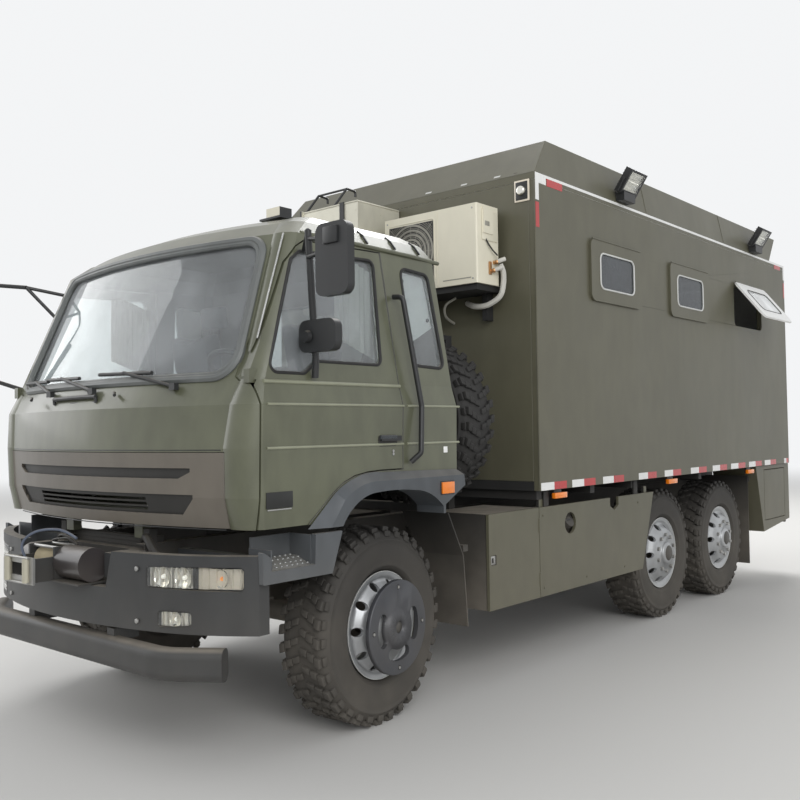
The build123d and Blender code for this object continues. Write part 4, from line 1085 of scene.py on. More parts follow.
class Bodywork:
    """CAD nodes that keep their own shape and take one finish each."""

    Row = namedtuple("Row", "finish bevel nodes")
    ROWS = (
        Row("chassis_black", 0.002, ("chassis_frame",)),
        Row("chassis_black", 0.0, ("engine_block", "drive_line", "front_axle", "rear_axles", "leaf_springs",
                                   "knuckle_left", "knuckle_right", "fuel_tank")),
        Row("chassis_black", 0.004, ("spare_carrier",)),
        Row("chassis_black", 0.006, ("rear_bar",)),
        Row("bumper_charcoal", 0.0, ("underrun_bar", "bumper")),
        Row("box_olive", 0.004, ("roof_fairing",)),
        Row("lamp_black", 0.0, ("wipers", "floodlights")),
        Row("flare_charcoal", 0.0, ("cab_flares",)),
        Row("box_olive", 0.003, ("rear_lockers", "locker_door_left", "locker_door_right")),
        Row("cab_glass", 0.0, ("cab_glass",)),
    )

    def build(self, kit: Kit) -> None:
        """Give every listed node its finish."""
        for row in self.ROWS:
            for node in row.nodes:
                kit.dress(node, row.finish, row.bevel)
        LOG.info("bodywork: %d nodes", sum(len(row.nodes) for row in self.ROWS))


@dataclass(frozen=True)
class Wheel:
    """One wheel: its CAD node, its body, and where its hub stands.

    Attributes:
        node: the CAD node that it takes the place of.
        place: placement of the hub's middle, with Z out of the disc.
        guarded: whether a guard plate covers its disc.
    """

    node: str
    place: Matrix
    guarded: bool = False

    SIDEWALL = (
        (0.258, 0.104), (0.287, 0.104), (0.293, 0.120), (0.304, 0.136), (0.313, 0.1425), (0.317, 0.1465),
        (0.323, 0.1455), (0.350, 0.1500), (0.386, 0.1530), (0.424, 0.1520), (0.448, 0.1480), (0.452, 0.1510),
        (0.458, 0.1505), (0.463, 0.1440), (0.478, 0.1370), (0.493, 0.1240), (0.503, 0.1040), (0.509, 0.0600),
    )
    LUGS = 34
    Bolts = namedtuple("Bolts", "ring height size count")
    GUARD_BOLTS, RIM_NUTS = Bolts(0.212, 0.222, 0.010, 4), Bolts(0.148, 0.163, 0.016, 10)
    GUARD_CAP = ((0.0, 0.24), (0.028, 0.24), (0.033, 0.234), (0.033, 0.20), (0.0, 0.20))
    HUB_CAP = ((0.0, 0.205), (0.05, 0.205), (0.062, 0.196), (0.066, 0.165), (0.0, 0.165))
    EDGE_LINE = ((0.2838, 0.1245), (0.2862, 0.1245), (0.2862, 0.1285), (0.2838, 0.1285))
    RIM_REACH, GUARD_FROM = 0.4, 0.205

    def tread(self, shape: Shape, side: int) -> None:
        """One side's curved tread bars, each a chain of blocks that runs out over the shoulder.

        Args:
            shape: the piece it goes into.
            side: 1 or -1, the side of the tyre.
        """
        blocks = ((0.006, 0.050, 0.034, 0.000), (0.054, 0.094, 0.040, 0.012), (0.098, 0.132, 0.048, 0.035))
        start = math.pi / self.LUGS if side < 0 else 0.0
        slant = Matrix.Identity(4)
        slant[1][2] = side * 0.3
        for near, far, wide, lag in blocks:
            low, high = (0.496, -wide / 2, side * near), (TYRE_R, wide / 2, side * far)
            shape.raw_block(low, high, 0.004, Matrix.Rotation(start + lag, 4, "Z") @ slant)
        shape.raw_block((0.470, -0.022, side * 0.126), (0.503, 0.022, side * 0.1450), 0.004,
                        Matrix.Rotation(start + 0.105, 4, "Z"))
        shape.around(self.place, self.LUGS)

    def tyre(self, shape: Shape) -> None:
        """Carcass with its sidewall rings, then the tread."""
        mirrored = [(radius, -height) for radius, height in reversed(self.SIDEWALL)]
        shape.lathe([*self.SIDEWALL, (0.5105, 0.0), *mirrored], self.place, 72)
        for side in (1, -1):
            self.tread(shape, side)

    def steel(self, shape: Shape, kit: Kit) -> None:
        """The CAD rim, its guard in the guard's own finish, nuts, bolts and the painted edge line.

        Args:
            shape: the piece it goes into.
            kit: dresses the CAD nodes.
        """
        copy, solids = merged(kit.nodes[self.node].data)
        back = self.place.inverted()
        for solid in solids:
            reach = max(math.hypot(*(back @ v.co).xy) for f in solid for v in f.verts)
            if reach > self.RIM_REACH:
                continue
            guard = [f for f in solid if (back @ f.calc_center_median()).z > self.GUARD_FROM]
            covered = set(guard)
            shape.paint("rim_silver").island(copy, [f for f in solid if f not in covered])
            if guard:
                shape.paint("guard_slate").island(copy, guard)
        copy.free()
        bolts, cap = (self.GUARD_BOLTS, self.GUARD_CAP) if self.guarded else (self.RIM_NUTS, self.HUB_CAP)
        shape.paint("bare_steel")
        first = Matrix.Translation((bolts.ring, 0, bolts.height + 0.010))
        bmesh.ops.create_cone(shape.mesh, cap_ends=True, segments=6, radius1=bolts.size,
                              radius2=bolts.size * 0.9, depth=0.022, matrix=first)
        shape.around(self.place, bolts.count)
        shape.paint("hub_dark").lathe(cap, self.place, 24, closed=False)
        shape.paint("trim_white").lathe(self.EDGE_LINE, self.place, 64)

    def build(self, kit: Kit) -> None:
        """Build the wheel."""
        shape = Shape(kit, "tyre_rubber")
        self.tyre(shape)
        self.steel(shape, kit)
        shape.done(f"{self.node}_looks", kit.body_of[self.node], [self.node])


@dataclass(frozen=True)
class Wheels:
    """Six road wheels and the spare behind the cab."""

    spare: Point = (0.62, 0.905, 1.66)

    def places(self) -> Iterable[Wheel]:
        """Each wheel with its own placement."""
        quarter = math.radians(90)
        for name, station in AXLES.items():
            for side_name, side in SIDES:
                hub = level(side * WHEEL_X, station, HUB_Z)
                place = hub @ Matrix.Rotation(side * quarter, 4, "Y")
                if name == "front":
                    pin = level(side * KINGPIN_X, station, HUB_Z)
                    place = pin @ Matrix.Rotation(PARKED_STEER, 4, "Z") @ pin.inverted() @ place
                yield Wheel(f"wheel_{name}_{side_name}", place, name == "front")
        yield Wheel("spare_wheel", level(*self.spare) @ Matrix.Rotation(quarter, 4, "X"))

    def build(self, kit: Kit) -> None:
        """Build every wheel."""
        for wheel in self.places():
            wheel.build(kit)
        LOG.info("wheels: 6 on the road and the spare")


@dataclass(frozen=True)
class Cab:
    """Cab shell, grille, dashboard and trim: finishes by place, and the fittings on the skin."""

    middle: Point = (0.0, -0.2, 1.9)
    creases: Numbers = (1.735, 1.530)
    screen: Rows = ((-0.992, 1.885), (-0.905, 2.56), (0.905, 2.56), (0.992, 1.885))
    sleeper: Rows = ((0.225, 2.51), (0.455, 2.495), (0.515, 1.96), (0.25, 1.97))
    board: Rows = ((0.232, 2.500), (0.448, 2.485), (0.498, 2.20), (0.292, 2.10))
    drip_rail: Rows = (
        (1.062, -0.52, 2.603), (1.076, -0.30, 2.603), (1.08, 0.30, 2.596), (1.068, 0.585, 2.588),
    )
    roof_rib: Rows = ((1.062, 2.622), (1.028, 2.668), (0.985, 2.699))
    grip: Rows = ((-0.34, 1.80), (-0.12, 1.803), (0.11, 1.803))

    def skin(self, facet: Facet) -> str:
        """Olive outside; grey trim on faces that look into the cab."""
        inward = (Vector(self.middle) - facet.middle).dot(facet.normal) > 0.12
        return "cab_lining" if inward and facet.middle.z > 1.2 else "cab_olive"

    def grille(self, facet: Facet) -> str:
        """Grey-brown face, with its recesses darkened as painted shade.

        Args:
            facet: a part of the node.

        Returns:
            Name of its finish.
        """
        x, station, height = facet.middle
        deep = station > front_station(x, height) + 0.008
        band = (1.385 < height < 1.44 and abs(x) < 0.81) or (1.212 < height < 1.314 and abs(x) < 0.82)
        # painted shade in the grille's recesses
        return "dark_recess" if deep and band else "grille_brown"

    def dash(self, facet: Facet) -> str:
        """Grey dashboard with a black wheel and column."""
        wheel = facet.within((0.28, -0.66, 1.62), (0.82, -0.2, 2.2)) and facet.middle.y > -0.594
        return "black_rubber" if wheel else "dash_grey"

    def trim(self, facet: Facet) -> str:
        """Black grab bars, a bright aerial and the roof lamp's lens.

        Args:
            facet: a part of the node.

        Returns:
            Name of its finish.
        """
        if facet.high.x < 1.1 and facet.low.x > 1.0:
            return "bare_steel"
        if facet.high.x < 0.7 and facet.low.x > 0.5:
            return "lamp_black" if facet.middle.x > 0.63 or facet.middle.z < 2.792 else "aircon_cream"
        return "lamp_black"

    def screen_line(self, by: float) -> list[Vector]:
        """The windscreen's outline on the cab's front, moved out by a distance."""
        outline = divided(rounded(grown(self.screen, by), 0.11, 8))
        return [spot(x, front_station(x, z), z) for x, z in outline]

    def gaskets(self, kit: Kit) -> None:
        """Wide rubber round the windscreen, and narrow rubber round the sleeper windows."""
        shape = Shape(kit, "seal_rubber")
        for by, radius in ((0.020, 0.021), (0.004, 0.015)):
            shape.pipe(self.screen_line(by), radius, 8, closed=True)
        shape.paint("black_rubber")
        for side in BOTH:
            line = rounded(grown(self.sleeper, 0.006), 0.045)
            shape.run([(side * (skin_x(z) - 0.002), s, z) for s, z in line], 0.010, 8, closed=True)
        back = panel(-0.48, 0.48, 2.04, 2.44, 0.06)
        shape.run([(x, 0.615 - 0.068 * (z - 1.85), z) for x, z in back], 0.014, 8, closed=True)
        shape.done("cab_gaskets", "cab")

    def rails(self, kit: Kit) -> None:
        """Drip rails over the doors, roof ribs, and the raised lines along the sides, in a lighter olive that
        is a painted highlight.
        """
        shape = Shape(kit, "cab_olive")
        for side in BOTH:
            for height in self.creases:
                ends = [spot(side * (skin_x(height) + 0.0005), s, height) for s in (0.135, 0.60)]
                # the raised lines take a lighter olive as a painted highlight
                shape.paint("olive_crease").bar(*ends, 0.007, 10)
            corner = side_view(side * 1.09)
            shape.paint("cab_olive").block((-0.912, 1.835, 0.0), (-0.862, 1.90, side * 0.04), 0.0, corner)
            shape.run([(side * x, s, z) for x, s, z in self.drip_rail], 0.012)
        shape.paint("lamp_black")
        for side in BOTH:
            for station in (-0.02, 0.21, 0.42):
                shape.run([(side * x, station, z) for x, z in self.roof_rib], 0.006, 6)
        shape.done("cab_rails", "cab")

    def front_fittings(self, kit: Kit) -> None:
        """Grip bar under the windscreen, and the seams above and below the grille panel."""
        shape = Shape(kit, "lamp_black")
        for ahead, drop, radius in ((0.018, 0.0, 0.011), (0.008, 0.03, 0.007)):
            shape.run([(x, front_station(x, z) - ahead, z - drop) for x, z in self.grip], radius)
        for x in (-0.34, 0.11):
            end = spot(x, front_station(x, 1.80) - 0.018, 1.80)
            shape.bar(end, spot(x, front_station(x, 1.77), 1.77), 0.009)
        for height, half in ((1.524, 1.0), (1.148, 0.98)):
            row = [-half + 2 * half * n / 24 for n in range(25)]
            shape.run([(x, front_station(x, height) + 0.001, height) for x in row], 0.003, 6)
        shape.done("cab_front_fittings", "cab")

    def blinds(self, kit: Kit) -> None:
        """White boards behind the sleeper windows with their screws, and the small white reflectors."""
        shape = Shape(kit, "sash_white")
        for side in BOTH:
            leaning = [spot(side * (skin_x(z) - 0.034), s, z) for s, z in rounded(self.board, 0.02)]
            inner = [point - Vector((side * 0.004, 0, 0)) for point in leaning]
            self.sheet(shape, leaning, inner)
            skin = side_view(side * skin_x(1.49))
            shape.block((0.457, 1.472, 0.0), (0.493, 1.507, side * 0.002), 0.001, skin)
        shape.paint("lamp_black")
        for side in BOTH:
            for s, z in ((0.262, 2.447), (0.452, 2.236)):
                shape.rod(aimed(spot(side * (skin_x(z) - 0.035), s, z), (side, 0, 0)), 0.011, 0.008, 12)
        shape.done("cab_blinds", "cab")

    def sheet(self, shape: Shape, front: Sequence[Vector], back: Sequence[Vector]) -> None:
        """A thin sheet between two like outlines.

        Args:
            shape: the piece it goes into.
            front: outline of its outer face.
            back: outline of its inner face.
        """
        rings = [[shape.mesh.verts.new(point) for point in ring] for ring in (front, back)]
        for ring in rings:
            shape.mesh.faces.new(ring)
        edges = [shape.mesh.edges.get(pair) for ring in rings for pair in zip(ring, ring[1:] + ring[:1])]
        bmesh.ops.bridge_loops(shape.mesh, edges=edges)
        shape.settle(HERE)

    def instruments(self, kit: Kit) -> None:
        """Instrument hood, dials and switches on the dashboard, and the gear lever."""
        shape = Shape(kit, "dash_grey")
        shape.block((0.33, 0.0, 1.79), (0.78, 0.16, 1.86), 0.02, level(0, -0.82, 0))
        shape.paint("black_rubber")
        for x in (0.44, 0.55, 0.66):
            shape.peg((x, -0.66, 1.826), (0, 1, 0.2), 0.035, 0.012, 20)
        for x in (-0.25, -0.17, -0.09, -0.01, 0.07):
            shape.block((x, -0.616, 1.69), (x + 0.05, -0.598, 1.72), 0.003, top_view(0))
        shape.bar(spot(0.2, -0.35, 1.42), spot(0.23, -0.40, 1.80), 0.012)
        shape.peg((0.23, -0.40, 1.79), (0.05, -0.1, 1), 0.028, 0.05, 16, 0.022, bevel=0.008)
        shape.done("cab_instruments", "cab")

    def build(self, kit: Kit) -> None:
        """Dress the cab's nodes and add its fittings."""
        for node in (("cab_shell", self.skin), ("cab_grille", self.grille), ("dashboard", self.dash),
                     ("cab_trim", self.trim)):
            kit.dress_by(*node)
        for add in (self.gaskets, self.rails, self.front_fittings, self.instruments, self.blinds):
            add(kit)
        LOG.info("cab: shell, gaskets, rails, fittings")


@dataclass(frozen=True)
class CabDoor:
    """One cab door: leaf, glass, mirrors, handle, keyholes, curtain and the blank plate."""

    name: str
    side: int

    BEAD = (-0.862, 0.105)
    WINDOW = (
        (-0.822, 1.89), (-0.604, 2.452), (-0.544, 2.5), (-0.004, 2.522), (-0.028, 1.955), (-0.49, 1.955),
        (-0.59, 1.89),
    )

    def choose(self, facet: Facet) -> str:
        """Finish of one face of the door's node.

        Args:
            facet: a part of the node.

        Returns:
            Name of its finish.
        """
        x = facet.middle.x * self.side
        if max(facet.high.x * self.side, facet.low.x * self.side) > 1.3:
            rear = facet.normal.y > 0.8 and facet.middle.z > 1.97 and x > 1.15
            return "mirror_glass" if rear else "lamp_black"
        if facet.low.z > 1.85:
            return "cab_glass"
        if facet.within((-1.3, -0.09, 1.545), (1.3, 0.08, 1.58)) and x > 1.1855:
            return "lamp_black"
        return "cab_lining" if facet.normal.x * self.side < -0.3 else "cab_olive"

    def leaf(self, shape: Shape) -> None:
        """Window rubber, raised lines in a lighter olive that is a painted highlight, and the blank plate
        with its bright edge.
        """
        line = rounded(grown(self.WINDOW, 0.004), 0.04)
        shape.run([(self.side * (skin_x(z) - 0.003), s, z) for s, z in line], 0.009, 8, closed=True)
        # the raised lines take a lighter olive as a painted highlight
        shape.paint("olive_crease")
        for height, size in ((Cab.creases[0], 0.007), (Cab.creases[1], 0.007), (1.842, 0.010)):
            ends = [spot(self.side * (skin_x(height) + 0.0005), s, height) for s in self.BEAD]
            shape.bar(*ends, size, 10)
        skin = side_view(self.side * skin_x(1.29))
        shape.paint("plate_dark").block((-0.868, 1.25, -0.001), (-0.704, 1.326, 0.004), 0.001, skin)
        shape.paint("bare_steel").block((-0.86, 1.2405, -0.001), (-0.712, 1.2465, 0.003), 0.001, skin)

    def handle(self, shape: Shape) -> None:
        """Keyholes, the handle's cup, darkened as painted shade, its grip, and the armrest inside."""
        skin = side_view(self.side * skin_x(1.53))
        for height in (1.478, 1.494):
            shape.rod(skin @ Matrix.Translation((0.020, height, -0.002)), 0.008, 0.006 * self.side, 14)
        cup = panel(-0.098, 0.052, 1.520, 1.580, 0.018)
        # the handle's cup is a recess in painted shade
        shape.paint("dark_recess").prism(cup, 0.0025 * self.side, skin)
        low, high = (-0.086, 1.556, 0.0), (0.042, 1.578, 0.016 * self.side)
        shape.paint("flare_charcoal").block(low, high, 0.004, skin)
        low, high = (-0.6, 1.66, -0.03 * self.side), (-0.12, 1.70, 0.09 * self.side)
        shape.paint("dash_grey").block(low, high, 0.012, side_view(self.side * 1.04))

    def curtain(self, shape: Shape) -> None:
        """Folded curtain behind the rear half of the window, leaning in as the door does."""
        folds = [(-0.30 + 0.30 * n / 24, 0.008 * math.sin(n * 1.9)) for n in range(25)]
        outline = [*folds, *[(s, depth - 0.004) for s, depth in reversed(folds)]]
        axes = Matrix(((0, self.side, 0), (1, 0, 0), (-0.35, 0, 1))).to_4x4()
        foot = level(self.side * 1.06, 0.02, 1.99)
        shape.paint("curtain_grey").prism(outline, 0.46, foot @ axes)

    def build(self, kit: Kit) -> None:
        """Dress the node, then add the fittings."""
        node = f"cab_door_{self.name}"
        kit.dress_by(node, self.choose)
        shape = Shape(kit, "black_rubber")
        for add in (self.leaf, self.handle, self.curtain):
            add(shape)
        if self.side > 0:
            shape.paint("lamp_black")
            boss = level(1.476, -0.716, 2.5)
            shape.block((-0.045, -0.012, -0.04), (0.045, 0.012, 0.04), 0.006, boss)
            shape.peg((1.215, -0.62, 2.06), (0, -1, 0), 0.032, 0.02, 18, 0.026)
        shape.done(f"{node}_fittings", node)


@dataclass(frozen=True)
class FrontLamps:
    """Headlamps, indicators and fog lamps in the bumper's wells, with the bolts beside them."""

    side: int

    HEAD = ((0.675, 0.888), (0.675, 0.982), (1.133, 0.987), (1.133, 0.883))
    FOG = ((0.738, 0.703), (0.738, 0.782), (0.912, 0.782), (0.912, 0.717))
    Band = namedtuple("Band", "finish start end low high near far count gap", defaults=(1, 0.0))
    BANDS = (
        Band("lamp_silver", 0.675, 0.925, 0.887, 0.984, 0.030, 0.036),
        Band("lamp_silver", 0.739, 0.911, 0.706, 0.781, 0.026, 0.032),
        Band("lamp_silver", 0.690, 0.694, 0.889, 0.983, 0.012, 0.031, 9, 0.028),
        Band("lamp_silver", 0.752, 0.755, 0.709, 0.780, 0.012, 0.027, 6, 0.026),
        Band("lamp_cream", 0.925, 1.133, 0.885, 0.985, 0.022, 0.028),
        Band("lamp_cream", 0.945, 0.948, 0.889, 0.983, 0.010, 0.023, 6, 0.033),
        Band("lamp_black", 0.920, 0.930, 0.886, 0.985, 0.002, 0.030),
    )
    COVERS = (
        Band("lamp_glass", 0.680, 1.128, 0.890, 0.983, 0.001, 0.004),
        Band("lamp_glass", 0.744, 0.906, 0.714, 0.780, 0.001, 0.004),
    )
    # the bulbs have a painted glow
    BOWLS = (
        (0.748, 0.936, 0.047, "bulb_white"), (0.858, 0.936, 0.047, "bulb_white"),
        (1.03, 0.936, 0.040, "bulb_orange"), (0.82, 0.744, 0.031, "bulb_white"),
    )
    BOLT_X, BOLT_HEIGHTS = 0.62, (0.968, 0.723)

    def slabs(self, shape: Shape, band: Band) -> None:
        """Slabs that follow the bumper's bow between two depths behind its face.

        Args:
            shape: the piece it goes into.
            band: row of the table.
        """
        shape.paint(band.finish)
        for number in range(band.count):
            first = band.start + number * band.gap
            steps = [first + (band.end - band.start) * n / 10 for n in range(11)]
            front = [(self.side * x, bow_station(x) + band.near) for x in steps]
            back = [(self.side * x, bow_station(x) + band.far) for x in reversed(steps)]
            shape.prism([*front, *back], band.high - band.low, top_view(band.low), 0.0015)

    def bowl(self, shape: Shape, x: float, z: float, radius: float, bulb: str) -> None:
        """A reflector bowl, open to the front, with its bulb, which has a painted glow.

        Args:
            shape: the piece it goes into.
            x: its X.
            z: its height.
            radius: its radius.
            bulb: name of its bulb's finish, a painted glow.
        """
        place = aimed(spot(self.side * x, bow_station(x) + 0.036, z), (self.side * 0.25, -1, 0))
        rows = [(radius * n / 6, 0.022 * (n / 6) ** 2) for n in range(7)]
        back = [(r + 0.002, h - 0.003) for r, h in reversed(rows)]
        shape.paint("reflector").lathe([*rows, (radius + 0.002, 0.022), *back], place, 28)
        shape.paint(bulb).rod(place, 0.011, 0.022, 14, 0.008, 0.003)

    def rim(self, shape: Shape, outline: Outline) -> None:
        """A thin dark line round a lamp's cover."""
        line = [(self.side * x, bow_station(x) + 0.006, z) for x, z in rounded(outline, 0.016)]
        shape.paint("lamp_black").run(line, 0.0055, 8, closed=True)

    def build(self, kit: Kit) -> None:
        """Build the lamps of one side."""
        shape = Shape(kit, "lamp_silver")
        for band in self.BANDS:
            self.slabs(shape, band)
        for bowl in self.BOWLS:
            self.bowl(shape, *bowl)
        for outline in (self.HEAD, self.FOG):
            self.rim(shape, outline)
        shape.paint("bare_steel")
        for z in self.BOLT_HEIGHTS:
            face = spot(self.side * self.BOLT_X, bow_station(self.BOLT_X) - 0.001, z)
            shape.rod(aimed(face, (self.side * 0.1, -1, 0)), 0.013, 0.010, 6, bevel=0.002)
        name = "left" if self.side > 0 else "right"
        shape.done(f"front_lamps_{name}", "chassis", ["front_lamps"])
        cover = Shape(kit, "lamp_glass")
        for band in self.COVERS:
            self.slabs(cover, band)
        cover.done(f"front_lamp_covers_{name}", "chassis")


@dataclass(frozen=True)
class WinchGear:
    """Winch in its finishes, its wound rope, tie rods, wires and loose rope, and the radiator behind it."""

    axis: Point = (-0.07, -1.215, 0.962)
    route: Rows = (
        (-0.100, -1.262, 0.930), (-0.112, -1.320, 0.938), (-0.140, -1.352, 0.988), (-0.180, -1.346, 1.052),
        (-0.140, -1.304, 1.104), (-0.060, -1.262, 1.122), (0.060, -1.232, 1.120), (0.150, -1.222, 1.084),
    )
    hose: Rows = ((0.30, -0.93, 0.0), (0.42, -0.99, 0.02), (0.52, -1.0, -0.06), (0.60, -0.93, -0.12))
    rope_length: float = 0.575
    rope_thick: float = 0.014
    rope_turns: int = 15
    drum_half: float = 0.112

    def choose(self, facet: Facet) -> str:
        """Finish of one face of the winch.

        Args:
            facet: a part of the node.

        Returns:
            Name of its finish.
        """
        x, station, _ = facet.middle
        near_axis = facet.off_axis(self.axis, Axis.X)
        if station < self.axis[1] - 0.183:
            return "roller_cream" if 0.05 < abs(x - self.axis[0]) < 0.112 else "bare_steel"
        if near_axis < 0.0845 and abs(x - self.axis[0]) > 0.136:
            return "winch_motor"
        return "rope_wound" if near_axis < 0.05 else "winch_grey"

    def radiator(self, shape: Shape) -> None:
        """Radiator core behind the bumper, dark in its own colour and in painted shade, its frame and its
        hoses.
        """
        core = top_view(0)
        # the core is dark in its own colour and in painted shade
        shape.paint("dark_recess").block((-0.40, -0.935, 0.84), (0.40, -0.885, 1.075), 0.004, core)
        shape.paint("chassis_black")
        for x in (-0.41, 0.39):
            shape.block((x, -0.945, 0.83), (x + 0.02, -0.88, 1.085), 0.003, core)
        for n in range(11):
            z = 0.855 + n * 0.021
            shape.block((-0.39, -0.939, z), (0.39, -0.934, z + 0.004), 0.0, core)
        shape.paint("black_rubber")
        for side, top in ((1, 1.06), (-1, 0.90)):
            hose = [(x, s, top + rise) for x, s, rise in self.hose]
            shape.run([(side * x, s, z) for x, s, z in smooth_line(hose)], 0.021, 8)

    def build(self, kit: Kit) -> None:
        """Dress the winch and add its rope, rods and wires."""
        kit.dress_by("winch", self.choose)
        shape = Shape(kit, "rope_wound")
        count, half = self.rope_turns * 4, self.drum_half
        rows = [(0.058 + 0.006 * abs(math.sin(n * math.pi / 4)), -half + 2 * half * n / count)
                for n in range(count + 1)]
        middle = spot(*self.axis)
        place = Matrix.Translation(middle) @ Matrix.Rotation(math.radians(90), 4, "Y")
        shape.lathe([*rows, (0.045, half), (0.045, -half)], place, 40)
        shape.paint("bare_steel")
        for drop, ahead in ((0.07, -0.05), (0.07, 0.05), (-0.07, 0.055)):
            shape.bar(middle + Vector((-0.12, ahead, drop)), middle + Vector((0.12, ahead, drop)), 0.009)
        shape.paint("winch_grey")
        for x in (-0.248, 0.30):
            for n in range(6):
                turn = math.tau * n / 6
                point = middle + Vector((x, 0.055 * math.cos(turn), 0.055 * math.sin(turn)))
                shape.rod(aimed(point, (math.copysign(1, x), 0, 0)), 0.006, 0.006, 6)
        shape.paint("black_rubber")
        for shift in (0.0, 0.018):
            wire = ((0.12, -1.20, 1.046), (0.05, -1.21 + shift, 1.075), (-0.06, -1.19, 1.066 + shift),
                    (-0.17, -1.17 + shift, 1.05), (-0.22, -1.15, 1.03))
            shape.run(smooth_line(wire), 0.006)
        self.radiator(shape)
        shape.done("winch_gear", "chassis")
        rope = cord_curve("winch_rope_looks", [spot(*point) for point in self.route], self.rope_thick / 2)
        rope.data.materials.append(kit.finishes["rope_blue"])
        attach(rope, "chassis")
        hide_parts("winch_rope")
        tuple(spot(*self.route[0]))
        LOG.info("winch: gear and rope")


@dataclass(frozen=True)
class Steps:
    """Cab steps ahead of the front wheels: dark panels, bright toothed treads, rubber flaps."""

    teeth: Rows = ((1.075, 1.0065), (1.115, 0.998), (1.15, 0.985), (1.18, 0.975))

    def choose(self, facet: Facet) -> str:
        """Finish of one face of the steps.

        Args:
            facet: a part of the node.

        Returns:
            Name of its finish.
        """
        if facet.within((-1.21, -0.85, 0.95), (1.21, -0.59, 1.02)) and facet.normal.z > 0.5:
            return "tread_alloy"
        return "black_rubber" if facet.middle.y > 0.5 else "flare_charcoal"

    def build(self, kit: Kit) -> None:
        """Dress the steps and add the treads' teeth, and the amber lamps on the flares."""
        kit.dress_by("cab_steps", self.choose)
        shape = Shape(kit, "tread_alloy")
        for side in BOTH:
            for row, (x, height) in enumerate(self.teeth):
                for n in range(7):
                    s = -0.82 + n * 0.033 + 0.016 * (row % 2)
                    shape.rod(level(side * x, s, height), 0.008, 0.005, 8, 0.006)
        shape.done("step_teeth", "chassis")
        lamps = Shape(kit, "amber_lens")
        for side in BOTH:
            view = side_view(side * 1.234)
            lamps.paint("amber_lens").block((0.374, 1.244, 0.0), (0.484, 1.309, side * 0.013), 0.003, view)
            low, high = (0.368, 1.238, -0.001 * side), (0.49, 1.315, side * 0.004)
            lamps.paint("lamp_black").block(low, high, 0.001, view)
        lamps.done("flare_lamps", "cab")
        LOG.info("steps and flare lamps")


